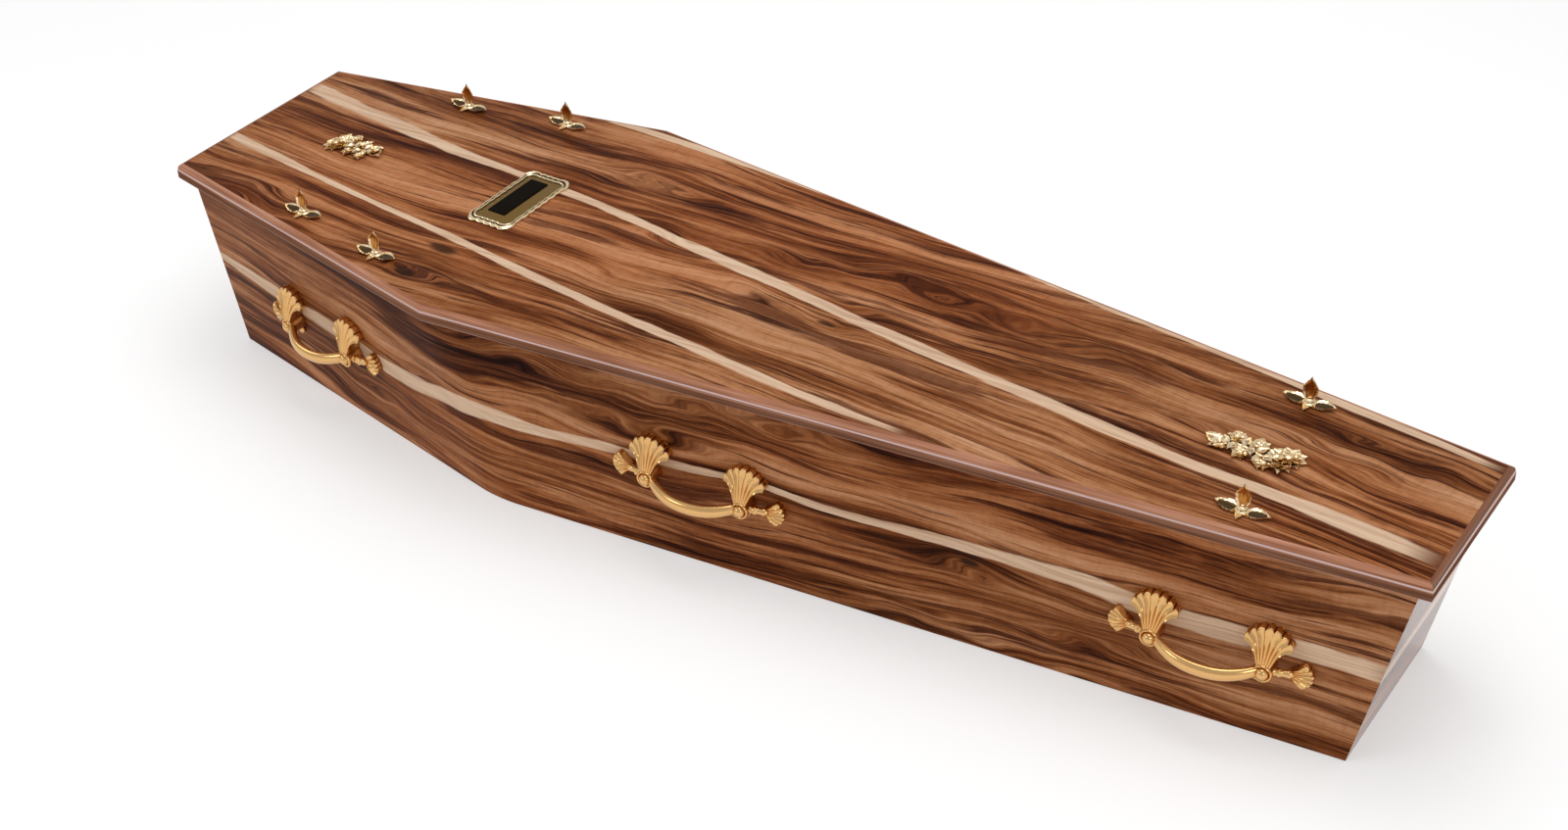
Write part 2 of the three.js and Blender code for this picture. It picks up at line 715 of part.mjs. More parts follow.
function namePanel() {
  const low = LID_TOP + 2 * FIT_GAP + PLATE_BASE_THICK;
  const ring = (shrink, z) => {
    const x = PANEL_WIDTH / 2 - shrink;
    const y = PANEL_LENGTH / 2 - shrink;
    return [
      new THREE.Vector3(PANEL_X - x, PANEL_Y - y, z),
      new THREE.Vector3(PANEL_X + x, PANEL_Y - y, z),
      new THREE.Vector3(PANEL_X + x, PANEL_Y + y, z),
      new THREE.Vector3(PANEL_X - x, PANEL_Y + y, z),
    ];
  };
  const rings = [
    ring(0, low),
    ring(0, low + PANEL_THICK - PANEL_BEVEL),
    ring(PANEL_BEVEL, low + PANEL_THICK),
  ];
  return loft(rings, (p) => new THREE.Vector2(p.x, p.y));
}

// Flower sprays.
function sprayStem(t) {
  const x = SPRAY_HALF_LENGTH * (2 * t - 1);
  const y = SPRAY_STEM_START + SPRAY_STEM_RISE * t + SPRAY_BOW * Math.sin(2 * Math.PI * t);
  return new THREE.Vector2(x, y);
}

// Leaves sweep from back to front on both sides of the stem.
function stemLeaf(k) {
  const share = k / (SPRAY_LEAVES - 1);
  const t = SPRAY_FIRST_LEAF + (SPRAY_LAST_LEAF - SPRAY_FIRST_LEAF) * share;
  const side = k % 2 === 0 ? 1 : -1;
  return sprayLeaf(t, side * (SPRAY_FIRST_TURN + (SPRAY_LAST_TURN - SPRAY_FIRST_TURN) * share));
}

function sprayLeaf(t, turn) {
  const foot = sprayStem(t);
  const halfAt = (s) => (SPRAY_LEAF_WIDTH / 2) * Math.sin(Math.PI * s ** LEAF_FULLNESS);
  const topAt = (i, j) => {
    const s = i / SPRAY_LEAF_STEPS;
    const half = Math.max(halfAt(s), LEAF_TIP_HALF);
    const across = j - 1;
    const height = SPRAY_LEAF_HEIGHT * (across === 0 ? 1 / 2 : 1);
    return new THREE.Vector3(SPRAY_LEAF_LENGTH * s, half * across, height + FIT_GAP);
  };
  const backAt = (i, j) => topAt(i, j).setZ(FIT_GAP);
  return placed(relief(SPRAY_LEAF_STEPS, 2, topAt, backAt, true), turn, foot.x, foot.y, 0);
}

function flower(radius, height, petals) {
  const sides = 2 * petals;
  const ring = (scale, z) => {
    const points = [];
    for (let k = 0; k < sides; k += 1) {
      const angle = (2 * Math.PI * k) / sides;
      const dip = k % 2 === 0 ? 1 : 1 - SPRAY_PETAL_DEPTH * scale;
      const r = radius * scale * dip;
      points.push(new THREE.Vector3(r * Math.cos(angle), r * Math.sin(angle), z));
    }
    return points;
  };
  const rings = [
    ring(1, FIT_GAP),
    ring(1, height * (1 - SPRAY_PETAL_DIP)),
    ring(SPRAY_HEART_RADIUS, height),
  ];
  return loft(rings, (p) => new THREE.Vector2(p.x, p.y));
}

function sprayBlossom(k) {
  const share = k / (SPRAY_BLOSSOMS - 1);
  const foot = sprayStem(SPRAY_FIRST_BLOSSOM + (SPRAY_LAST_BLOSSOM - SPRAY_FIRST_BLOSSOM) * share);
  const side = k % 2 === 0 ? 1 : -1;
  const blossom = flower(SPRAY_BLOSSOM_RADIUS, SPRAY_BLOSSOM_HEIGHT, SPRAY_BLOSSOM_PETALS);
  return placed(blossom, k, foot.x, foot.y + side * SPRAY_BLOSSOM_OFFSET, 0);
}

function sprayStemSolid() {
  const rings = [];
  for (let k = 0; k <= SPRAY_STEM_STEPS; k += 1) {
    const p = sprayStem(k / SPRAY_STEM_STEPS);
    const half = SPRAY_STEM_HALF_WIDTH;
    rings.push([
      new THREE.Vector3(p.x, p.y - half, FIT_GAP),
      new THREE.Vector3(p.x, p.y - half / 2, SPRAY_STEM_HEIGHT),
      new THREE.Vector3(p.x, p.y + half / 2, SPRAY_STEM_HEIGHT),
      new THREE.Vector3(p.x, p.y + half, FIT_GAP),
    ]);
  }
  return loft(rings, (p) => new THREE.Vector2(p.y, p.z));
}

function spray() {
  const pieces = [sprayStemSolid()];
  for (let k = 0; k < SPRAY_LEAVES; k += 1) pieces.push(stemLeaf(k));
  for (let k = 0; k < SPRAY_UNDER_LEAVES; k += 1) {
    const turn = SPRAY_UNDER_LEAF_TURN + SPRAY_UNDER_LEAF_SPREAD * k;
    pieces.push(sprayLeaf(SPRAY_UNDER_LEAF_AT, turn));
  }
  for (let k = 0; k < SPRAY_BLOSSOMS; k += 1) pieces.push(sprayBlossom(k));
  const end = sprayStem(1);
  pieces.push(placed(flower(SPRAY_ROSE_RADIUS, SPRAY_ROSE_HEIGHT, SPRAY_ROSE_PETALS), 0, end.x, end.y, 0));
  return joined(pieces);
}

// The screws pass into blind holes in the lid, each set in from the lid's edge.
function holderPlace(fromHead, edge, side) {
  const all = { headEnd: 0, headSide: edge, footSide: edge, footEnd: 0 };
  const { head, shoulder, foot } = planCorners(all);
  const x = HEAD_X + fromHead;
  const [from, to] = x < shoulder.x ? [head, shoulder] : [shoulder, foot];
  const y = from.y + ((to.y - from.y) * (x - from.x)) / (to.x - from.x);
  return new THREE.Vector2(x, y * side);
}

const holders = [];
const holderPairs = [
  [HOLDER_HEAD_FIRST, HOLDER_HEAD_FIRST, HOLDER_HEAD_EDGE],
  [HOLDER_HEAD_SECOND, HOLDER_HEAD_SECOND, HOLDER_HEAD_EDGE],
  [HOLDER_FOOT_NEAR, HOLDER_FOOT_FAR, HOLDER_FOOT_EDGE],
];
for (const [near, far, edge] of holderPairs) {
  holders.push(holderPlace(near, edge, 1), holderPlace(far, edge, -1));
}
const screwHoles = holders.map((p) => {
  const low = [STEM_HOLE_RADIUS, -STEM_HOLE_DEPTH];
  const high = [STEM_HOLE_RADIUS, BORE_CLEAR];
  return turned([low, high], STEM_SIDES).translate(p.x, p.y, LID_TOP);
});

addWood('base_board', baseBoard());
addWood('side_near', sideBoard(1));
addWood('side_far', sideBoard(-1));
addWood('head_board', endBoard('head'));
addWood('foot_board', endBoard('foot'));
addWood('lid', cutFrom(lidBoard(), screwHoles));

const handleSolid = handle();
const handlePlaces = [
  ['head', 'shoulder', HANDLE_HEAD_AT, HANDLE_HEAD_RISE, HANDLE_HEAD_TILT],
  ['shoulder', 'foot', HANDLE_WAIST_AT, HANDLE_WAIST_RISE, HANDLE_WAIST_TILT],
  ['shoulder', 'foot', HANDLE_FOOT_AT, HANDLE_FOOT_RISE, HANDLE_FOOT_TILT],
];
for (const [side, word] of [[1, 'near'], [-1, 'far']]) {
  handlePlaces.forEach(([from, to, share, height, tilt], k) => {
    const frame = panelFrame(from, to, share, height, tilt, side);
    const solid = handleSolid.clone().applyMatrix4(frame);
    addGold(`handle_${word}_${k + 1}`, solid);
  });
}

const plateSolid = holderPlate();
const screwSolid = thumbScrew();
holders.forEach((p, k) => {
  addGold(`holder_plate_${k + 1}`, plateSolid.clone().translate(p.x, p.y, LID_TOP));
  addGold(`thumb_screw_${k + 1}`, screwSolid.clone().translate(p.x, p.y, LID_TOP));
});
addGold('nameplate', nameplate());
addPiece('nameplate_panel', namePanel(), BLACK, PANEL_ROUGHNESS, 0);
const spraySolid = spray();
const shortSpray = spraySolid.clone().scale(SPRAY_HEAD_SHORTENED, 1, 1);
addGold('spray_head', placed(shortSpray, Math.PI, SPRAY_HEAD_X, SPRAY_HEAD_ASIDE, LID_TOP));
addGold('spray_foot', placed(spraySolid.clone(), 0, SPRAY_FOOT_X, SPRAY_FOOT_ASIDE, LID_TOP));

export default part;
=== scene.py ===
import math
import random

import bpy
from mathutils import Matrix, Vector


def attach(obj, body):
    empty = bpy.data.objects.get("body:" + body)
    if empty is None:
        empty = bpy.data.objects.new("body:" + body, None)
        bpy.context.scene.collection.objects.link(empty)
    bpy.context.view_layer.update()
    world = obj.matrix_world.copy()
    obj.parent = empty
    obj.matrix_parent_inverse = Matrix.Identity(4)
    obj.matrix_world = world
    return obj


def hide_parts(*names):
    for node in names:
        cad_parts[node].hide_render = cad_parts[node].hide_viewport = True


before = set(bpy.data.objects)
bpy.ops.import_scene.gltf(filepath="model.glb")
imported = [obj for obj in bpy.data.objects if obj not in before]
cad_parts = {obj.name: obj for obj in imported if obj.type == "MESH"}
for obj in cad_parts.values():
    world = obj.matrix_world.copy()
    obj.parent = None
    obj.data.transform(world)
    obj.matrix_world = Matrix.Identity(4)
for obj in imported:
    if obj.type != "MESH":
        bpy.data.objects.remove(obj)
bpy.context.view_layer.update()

# Metres and radians. +X points to the foot end, -Y to the side that is seen first, +Z up.

# The coffin's own sizes, the same as the solids have.
LID_LENGTH = 1.960
LID_HEAD_HALF = 0.178
LID_SHOULDER_HALF = 0.287
LID_FOOT_HALF = 0.133
SHOULDER_FROM_HEAD = 0.580
LID_THICK = 0.024
LID_OVERHANG = 0.0173
BOX_HEIGHT = 0.294
BOARD_THICK = 0.018
FIT_GAP = 0.0003
LEAN_HEAD_END = 0.032
LEAN_HEAD_SIDE = 0.022
LEAN_FOOT_SIDE = 0.0005
LEAN_FOOT_END = 0.0585
BEND_REACH = 0.038
HEAD_X = -LID_LENGTH / 2
FOOT_X = LID_LENGTH / 2
LID_TOP = BOX_HEIGHT + LID_THICK
MM = 0.001
QUARTER = math.pi / 2


# Mesh helpers
class Form:
    """Points and faces that grow piece by piece into one mesh."""

    def __init__(self):
        self.points = []
        self.faces = []
        self.slots = []

    def add(self, points, faces, slot=0):
        start = len(self.points)
        self.points += [Vector(p) for p in points]
        self.faces += [tuple(i + start for i in face) for face in faces]
        self.slots += [slot] * len(faces)
        return self

    def join(self, other, matrix=None):
        points = [matrix @ p for p in other.points] if matrix else other.points
        start = len(self.points)
        self.points += points
        turned = matrix is not None and matrix.to_3x3().determinant() < 0
        for face, slot in zip(other.faces, other.slots):
            ring = tuple(i + start for i in face)
            self.faces.append(tuple(reversed(ring)) if turned else ring)
            self.slots.append(slot)
        return self

    def band(self, number, count, slot):
        """Gives one band of a loft, count faces round, the material in a slot."""
        self.slots[number * count:(number + 1) * count] = [slot] * count

    def scaled(self, factor):
        self.points = [p * factor for p in self.points]
        return self


def moved(x, y, z=0):
    return Matrix.Translation((x, y, z))


def turned_by(angle, axis="Z"):
    return Matrix.Rotation(angle, 4, axis)


def make(name, form, materials, sharp=32.0):
    """One mesh object. Edges that bend more than sharp degrees stay crisp."""
    mesh = bpy.data.meshes.new(name)
    mesh.from_pydata([tuple(p) for p in form.points], [], form.faces)
    for material in materials:
        mesh.materials.append(material)
    mesh.polygons.foreach_set("material_index", form.slots)
    mesh.polygons.foreach_set("use_smooth", [True] * len(mesh.polygons))
    mesh.update()
    mesh.set_sharp_from_angle(angle=math.radians(sharp))
    mesh.validate()
    obj = bpy.data.objects.new(name, mesh)
    bpy.context.scene.collection.objects.link(obj)
    return obj


def dress(obj, slot, *nodes):
    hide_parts(*nodes)
    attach(obj, "root")


def loft(rings):
    """Rings of equal length joined into a closed skin, with a cap at each end."""
    count = len(rings[0])
    faces = []
    for r in range(len(rings) - 1):
        low, high = r * count, (r + 1) * count
        for i in range(count):
            j = (i + 1) % count
            faces.append((low + i, low + j, high + j, high + i))
    faces.append(tuple(reversed(range(count))))
    last = (len(rings) - 1) * count
    faces.append(tuple(last + i for i in range(count)))
    return Form().add([p for ring in rings for p in ring], faces)


def circle(sides):
    """Cosine and sine at evenly spaced angles round a circle."""
    angles = [2 * math.pi * k / sides for k in range(sides)]
    return [(math.cos(a), math.sin(a)) for a in angles]


def lathe(profile, sides):
    """A turned shape about +Z from (radius, height) points."""
    rings = []
    for radius, height in profile:
        rings.append([(radius * c, radius * s, height) for c, s in circle(sides)])
    return loft(rings)


def relief(columns, rows, top, back, slot=0):
    """A closed slab: a grid of points on top, one below, and walls round the rim."""
    count = columns + 1
    points = [top(i, j) for j in range(rows + 1) for i in range(count)]
    under = [back(i, j) for j in range(rows + 1) for i in range(count)]
    n = len(points)
    at = lambda i, j: j * count + i
    faces = []
    for j in range(rows):
        for i in range(columns):
            quad = (at(i, j), at(i + 1, j), at(i + 1, j + 1), at(i, j + 1))
            faces.append(quad)
            faces.append(tuple(q + n for q in reversed(quad)))
    for i in range(columns):
        for a, b in ((at(i, 0), at(i + 1, 0)), (at(i + 1, rows), at(i, rows))):
            faces.append((b, a, a + n, b + n))
    for j in range(rows):
        for a, b in ((at(0, j + 1), at(0, j)), (at(columns, j), at(columns, j + 1))):
            faces.append((b, a, a + n, b + n))
    return Form().add(points + under, faces, slot)


# Plan of the coffin, as the solids have it
LID_HEAD = Vector((HEAD_X, -LID_HEAD_HALF))
LID_SHOULDER = Vector((HEAD_X + SHOULDER_FROM_HEAD, -LID_SHOULDER_HALF))
LID_FOOT = Vector((FOOT_X, -LID_FOOT_HALF))


def moved_line(a, b, inset):
    along = (b - a).normalized()
    return a + Vector((-along.y, along.x)) * inset, along


def meet(first, second):
    """Where two lines cross, each given as a point and a direction."""
    gap = second[0] - first[0]
    cross = first[1].x * second[1].y - first[1].y * second[1].x
    t = (gap.x * second[1].y - gap.y * second[1].x) / cross
    return first[0] + first[1] * t


def plan_corners(head_end, head_side, foot_side, foot_end):
    """The near side's corners, each edge of the lid's plan moved in by its own distance."""
    across = Vector((0, 1))
    head = moved_line(LID_HEAD, LID_SHOULDER, head_side)
    foot = moved_line(LID_SHOULDER, LID_FOOT, foot_side)
    head_line = (Vector((HEAD_X + head_end, 0)), across)
    foot_line = (Vector((FOOT_X - foot_end, 0)), across)
    return {
        "head": meet(head, head_line),
        "shoulder": meet(head, foot),
        "foot": meet(foot, foot_line),
    }


def box_corners(z, side=0.0, end=0.0):
    lean = 1 - z / BOX_HEIGHT
    return plan_corners(
        LID_OVERHANG + LEAN_HEAD_END * lean + end,
        LID_OVERHANG + LEAN_HEAD_SIDE * lean + side,
        LID_OVERHANG + LEAN_FOOT_SIDE * lean + side,
        LID_OVERHANG + LEAN_FOOT_END * lean + end,
    )


def side_line(corners, steps):
    """Head to foot along one side, with a soft bend at the shoulder."""
    head, shoulder, foot = corners["head"], corners["shoulder"], corners["foot"]
    start = shoulder + (head - shoulder).normalized() * BEND_REACH
    finish = shoulder + (foot - shoulder).normalized() * BEND_REACH
    line = [head]
    for k in range(steps + 1):
        t = k / steps
        line.append(start * (1 - t) ** 2 + shoulder * 2 * t * (1 - t) + finish * t * t)
    return line + [foot]


def round_plan(line, z):
    """A ring from a line along the near side and its mirror along the far one."""
    return [(p.x, p.y, z) for p in line] + [(p.x, -p.y, z) for p in reversed(line)]


def panel_frame(start_name, end_name, share, height, tilt, side):
    """The frame of a spot on a side panel: X along it, Y up it and Z out of it."""
    low, high = box_corners(0), box_corners(BOX_HEIGHT)
    up_to = lambda p, z: Vector((p.x, p.y * side, z))
    start, finish = up_to(low[start_name], 0), up_to(low[end_name], 0)
    along = (finish - start).normalized()
    rise = up_to(high[start_name], BOX_HEIGHT) - start
    up = (rise - along * rise.dot(along)).normalized()
    u = along * side
    matrix = Matrix((u, up, u.cross(up))).transposed().to_4x4()
    matrix.translation = start.lerp(finish, share) + up * height
    return matrix @ turned_by(tilt * side)


# Materials
class Graph:
    """A material's nodes, with short names for the kinds that are used here."""

    def __init__(self, name):
        self.material = bpy.data.materials.new(name)
        self.material.use_nodes = True
        self.tree = self.material.node_tree
        self.tree.nodes.clear()
        out = self.tree.nodes.new("ShaderNodeOutputMaterial")
        self.shader = self.tree.nodes.new("ShaderNodeBsdfPrincipled")
        self.tree.links.new(self.shader.outputs["BSDF"], out.inputs["Surface"])

    def place(self):
        return self.tree.nodes.new("ShaderNodeTexCoord").outputs["Object"]

    def split(self, vector):
        node = self.tree.nodes.new("ShaderNodeSeparateXYZ")
        self.tree.links.new(vector, node.inputs[0])
        return node.outputs

    def link(self, value, socket):
        if hasattr(value, "is_output"):
            self.tree.links.new(value, socket)
        else:
            socket.default_value = value

    def math(self, operation, *values, clamp=False):
        node = self.tree.nodes.new("ShaderNodeMath")
        node.operation = operation
        node.use_clamp = clamp
        for k, value in enumerate(values):
            self.link(value, node.inputs[k])
        return node.outputs[0]

    def plus(self, a, b, clamp=False):
        return self.math("ADD", a, b, clamp=clamp)

    def minus(self, a, b):
        return self.math("SUBTRACT", a, b)

    def times(self, a, b, clamp=False):
        return self.math("MULTIPLY", a, b, clamp=clamp)

    def over(self, a, b):
        return self.math("DIVIDE", a, b)

    def sway(self, noise, reach):
        """A noise from 0 to 1 as a shift of half the reach to either side."""
        return self.times(self.minus(noise, 0.5), reach)

    def combine(self, x, y, z=0.0):
        node = self.tree.nodes.new("ShaderNodeCombineXYZ")
        for value, socket in zip((x, y, z), node.inputs):
            self.link(value, socket)
        return node.outputs[0]

    def noise(self, vector, scale, detail, rough=0.5):
        node = self.tree.nodes.new("ShaderNodeTexNoise")
        self.link(vector, node.inputs["Vector"])
        node.inputs["Scale"].default_value = scale
        node.inputs["Detail"].default_value = detail
        node.inputs["Roughness"].default_value = rough
        return node.outputs[0]

    def ramp(self, value, stops):
        node = self.tree.nodes.new("ShaderNodeValToRGB")
        elements = node.color_ramp.elements
        while len(elements) > 1:
            elements.remove(elements[-1])
        elements[0].position, elements[0].color = stops[0][0], (*stops[0][1], 1)
        for position, color in stops[1:]:
            element = elements.new(position)
            element.color = (*color, 1)
        self.link(value, node.inputs[0])
        return node.outputs[0]

    def mix(self, factor, a, b, blend="MIX"):
        node = self.tree.nodes.new("ShaderNodeMix")
        node.data_type = "RGBA"
        node.blend_type = blend
        self.link(factor, node.inputs[0])
        for value, socket in ((a, node.inputs[6]), (b, node.inputs[7])):
            if isinstance(value, tuple):
                socket.default_value = (*value, 1)
            else:
                self.link(value, socket)
        return node.outputs[2]

    def tinted(self, color, factor, tint):
        """The colour, multiplied by a tint as far as the factor says."""
        return self.mix(factor, color, self.mix(1.0, color, tint, "MULTIPLY"))

    def curve(self, value, points):
        """A smooth line through a few (input, output) points, both from 0 to 1."""
        node = self.tree.nodes.new("ShaderNodeFloatCurve")
        line = node.mapping.curves[0]
        line.points[0].location = points[0]
        line.points[1].location = points[-1]
        for point in points[1:-1]:
            line.points.new(*point)
        node.mapping.update()
        self.link(value, node.inputs["Value"])
        return node.outputs[0]

    def step(self, value, low, high):
        node = self.tree.nodes.new("ShaderNodeMapRange")
        node.interpolation_type = "SMOOTHSTEP"
        self.link(value, node.inputs[0])
        node.inputs[1].default_value = low
        node.inputs[2].default_value = high
        return node.outputs[0]

    def bump(self, height, strength, distance):
        node = self.tree.nodes.new("ShaderNodeBump")
        node.inputs["Strength"].default_value = strength
        node.inputs["Distance"].default_value = distance
        self.link(height, node.inputs["Height"])
        self.tree.links.new(node.outputs["Normal"], self.shader.inputs["Normal"])

    def finish(self, color, **numbers):
        """Sets the base colour and the shader's plain numbers, and gives the material."""
        self.link(color, self.shader.inputs["Base Color"])
        for name, value in numbers.items():
            self.shader.inputs[name.replace("_", " ")].default_value = value
        return self.material


# The wood's colours from its darkest figure to its palest, then the sapwood's two.
DARK = (0.026, 0.0055, 0.0010)
BROWN = (0.098, 0.024, 0.0050)
RED_BROWN = (0.225, 0.074, 0.0230)
LIGHT = (0.390, 0.168, 0.072)
PALE = (0.52, 0.275, 0.150)
CREAM = (0.70, 0.50, 0.345)
CREAM_DEEP = (0.46, 0.28, 0.175)
WOOD_STOPS = [(0.22, DARK), (0.37, BROWN), (0.50, RED_BROWN), (0.64, LIGHT), (0.82, PALE)]
EYE_COLOR = (0.020, 0.0080, 0.0045)
PORE_COLOR = (0.035, 0.011, 0.005)

# Noises of the grain: scale along it, scale across it, shift, detail and roughness. The
# wanders bend the grain, and each has its reach in metres after it.
WANDERS = (
    ((1.1, 2.6, 0.0, 2.0, 0.5), 0.16),
    ((2.8, 8.0, 40.0, 2.0, 0.5), 0.048),
    ((16.0, 55.0, 80.0, 2.0, 0.5), 0.0032),
)
WILD_WANDERS = (
    ((6.0, 18.0, 95.0, 1.0, 0.5), 0.068),
    ((13.0, 36.0, 97.0, 1.0, 0.5), 0.014),
)
WILD_ZONES = (1.5, 6.0, 90.0, 2.0, 0.5)
BROAD = (1.4, 17.0, 2.0, 5.0, 0.62)
FIGURE = (3.0, 80.0, 5.0, 5.0, 0.65)
LINES = (6.0, 250.0, 14.0, 4.0, 0.65)
FIBRE = (26.0, 560.0, 9.0, 3.0, 0.6)
BANDS = (2.0, 30.0, 27.0, 5.0, 0.62)
CLUSTERS = (2.4, 105.0, 17.0, 5.0, 0.66)
FLAME = (110.0, 60.0, 33.0, 3.0, 0.7)
WARM_ZONES = (1.4, 5.0, 60.0, 2.0, 0.5)
RAGGED = (9.0, 70.0, 0.0, 4.0, 0.6)
PORES = (34.0, 900.0, 0.0, 2.0, 0.7)

# Where each noise begins to show and where it shows in full.
WILD_EDGE = (0.49, 0.62)
BAND_EDGE = (0.53, 0.60)
CLUSTER_EDGE = (0.55, 0.63)
FLAME_EDGE = (0.44, 0.72)
EYE_EDGE = (0.25, 0.75)
WARM_EDGE = (0.42, 0.60)
PORE_EDGE = (0.60, 0.74)
GRAIN_EDGE = (0.36, 0.60)

# What each multiplies the wood's colour by.
BAND_TINT = (0.40, 0.31, 0.27)
CLUSTER_TINT = (0.26, 0.18, 0.16)
CONTOUR_TINT = (0.34, 0.24, 0.20)
FLAME_TINT = (0.55, 0.45, 0.40)
WARM_TINT = (1.0, 0.88, 0.78)

# How strongly each shows.
BROAD_SHARE, FIGURE_SHARE, LINES_SHARE = 0.48, 0.34, 0.18
CONTRAST = 2.3
FIBRE_SHARE = 0.22
WILD_SHADE = 0.05
CONTOUR_COVER = 0.65
FLAME_COVER = 0.30
EYE_COVER = 0.85
STREAK_COVER = 0.95
PORE_COVER = 0.35

SEED_STEP = 3.7
EULER = 2.718
KNOT_PUSH = 0.85
KNOT_WILD = 1.5
CONTOURS_PER_METRE = 105.0
CONTOUR_RISE = (0.62, 0.94)
CONTOUR_FALL = (1.0, 0.95)
EYE_RAGGED = 0.03
STREAK_RAGGED = 1.1
STREAK_EDGE = (1.10, 0.80)
STREAK_START = (-0.002, 0.01)
STREAK_FINISH = (1.002, 0.97)
SWELL_SCALE, SWELL_SHARE = 3.4, 2.4
CURVE_LIFT, CURVE_GAIN = 0.5, 10.0  # these bring a curve's values between 0 and 1


def veneer(name, axes, seed, streaks=(), knots=(), eyes=(), tone=0.0, rough=0.34, gloss=0.03):
    """Walnut veneer under lacquer. axes names the object axes along and across the grain. A
    streak is (points, halves): pale sapwood along a line of (u, v) metres, with half widths
    spread evenly over its length. A knot is (u, v, radius_u, radius_v): the grain swirls
    round it. An eye is given alike, and is dark."""
    g = Graph(name)
    split = g.split(g.place())
    u, v = split[axes[0]], split[axes[1]]
    us = g.plus(u, seed * SEED_STEP)

    def stretched(spec, line):
        along, across, shift, detail, grain_rough = spec
        spot = g.combine(g.times(us, along), g.times(line, across), seed + shift)
        return g.noise(spot, 1.0, detail, grain_rough)

    def bell_at(ku, kv, ru, rv, line):
        du = g.over(g.minus(u, ku), ru)
        dv = g.over(g.minus(line, kv), rv)
        away = g.plus(g.times(du, du), g.times(dv, dv))
        return g.math("POWER", EULER, g.times(away, -1.0)), dv

    # The grain's line wanders, and more so in wild zones and round knots.
    vw = v
    for spec, reach in WANDERS:
        vw = g.plus(vw, g.sway(stretched(spec, v), reach))
    wild = g.step(stretched(WILD_ZONES, v), *WILD_EDGE)
    pushes = []
    for ku, kv, ru, rv in knots:
        bell, dv = bell_at(ku, kv, ru, rv, v)
        pushes.append(g.times(g.times(bell, dv), -rv * KNOT_PUSH))
        wild = g.math("MAXIMUM", wild, g.times(bell, KNOT_WILD, clamp=True))
    for spec, reach in WILD_WANDERS:
        vw = g.plus(vw, g.times(g.sway(stretched(spec, v), reach), wild))
    for push in pushes:
        vw = g.plus(vw, push)

    # Broad bands of colour with narrower figure and lines inside them, dark bands, clusters
    # of fine dark lines, and growth rings as contour lines where the grain runs wild.
    broad, figure, lines, fibre = [stretched(spec, vw) for spec in (BROAD, FIGURE, LINES, FIBRE)]
    value = g.plus(g.times(broad, BROAD_SHARE), g.times(figure, FIGURE_SHARE))
    value = g.plus(value, g.times(lines, LINES_SHARE))
    value = g.plus(g.sway(value, CONTRAST), 0.5 + tone)
    value = g.plus(value, g.sway(fibre, FIBRE_SHARE))
    value = g.minus(value, g.times(wild, WILD_SHADE))
    wood = g.ramp(value, WOOD_STOPS)
    wood = g.tinted(wood, g.step(stretched(BANDS, vw), *BAND_EDGE), BAND_TINT)
    wood = g.tinted(wood, g.step(stretched(CLUSTERS, vw), *CLUSTER_EDGE), CLUSTER_TINT)
    contour = g.math("FRACT", g.times(vw, CONTOURS_PER_METRE))
    contour = g.times(g.step(contour, *CONTOUR_RISE), g.step(contour, *CONTOUR_FALL))
    wood = g.tinted(wood, g.times(g.times(contour, wild), CONTOUR_COVER), CONTOUR_TINT)
    flame = g.step(stretched(FLAME, vw), *FLAME_EDGE)
    wood = g.tinted(wood, g.times(flame, FLAME_COVER), FLAME_TINT)
    for eye in eyes:
        blot = g.plus(v, g.sway(figure, EYE_RAGGED))
        core = g.step(bell_at(*eye, blot)[0], *EYE_EDGE)
        wood = g.mix(g.times(core, EYE_COVER), wood, EYE_COLOR)
    wood = g.tinted(wood, g.step(stretched(WARM_ZONES, v), *WARM_EDGE), WARM_TINT)

    # Pale sapwood streaks with ragged edges and an uneven width.
    ragged = stretched(RAGGED, v)
    for points, halves in streaks:
        first, last = points[0][0], points[-1][0]
        share = g.over(g.minus(u, first), last - first)
        path = [((x - first) / (last - first), y + CURVE_LIFT) for x, y in points]
        centre = g.minus(g.curve(share, path), CURVE_LIFT)
        spread = [(k / (len(halves) - 1), half * CURVE_GAIN) for k, half in enumerate(halves)]
        half = g.over(g.curve(share, spread), CURVE_GAIN)
        own = 4.0 + halves[0] * 100
        swell = g.noise(g.combine(g.times(us, SWELL_SCALE), seed, own), 1.0, 3.0)
        width = g.times(half, g.times(swell, SWELL_SHARE))
        off = g.math("ABSOLUTE", g.minus(v, centre))
        off = g.plus(off, g.sway(ragged, g.times(half, STREAK_RAGGED)))
        inside = g.step(g.over(off, width), *STREAK_EDGE)
        ends = g.times(g.step(share, *STREAK_START), g.step(share, *STREAK_FINISH))
        inside = g.times(inside, ends)
        grain = g.plus(g.times(figure, 0.5), g.times(lines, 0.4))
        pale = g.mix(g.step(grain, *GRAIN_EDGE), CREAM, CREAM_DEEP)
        wood = g.mix(g.times(inside, STREAK_COVER), wood, pale)

    # Short pores darken the wood and give a slight relief under the lacquer.
    pore = g.step(stretched(PORES, vw), *PORE_EDGE)
    wood = g.mix(g.times(pore, PORE_COVER), wood, PORE_COLOR)
    g.bump(g.minus(g.times(fibre, 0.6), pore), 0.10, 0.0004)
    return g.finish(wood, Roughness=rough, Specular_IOR_Level=gloss)


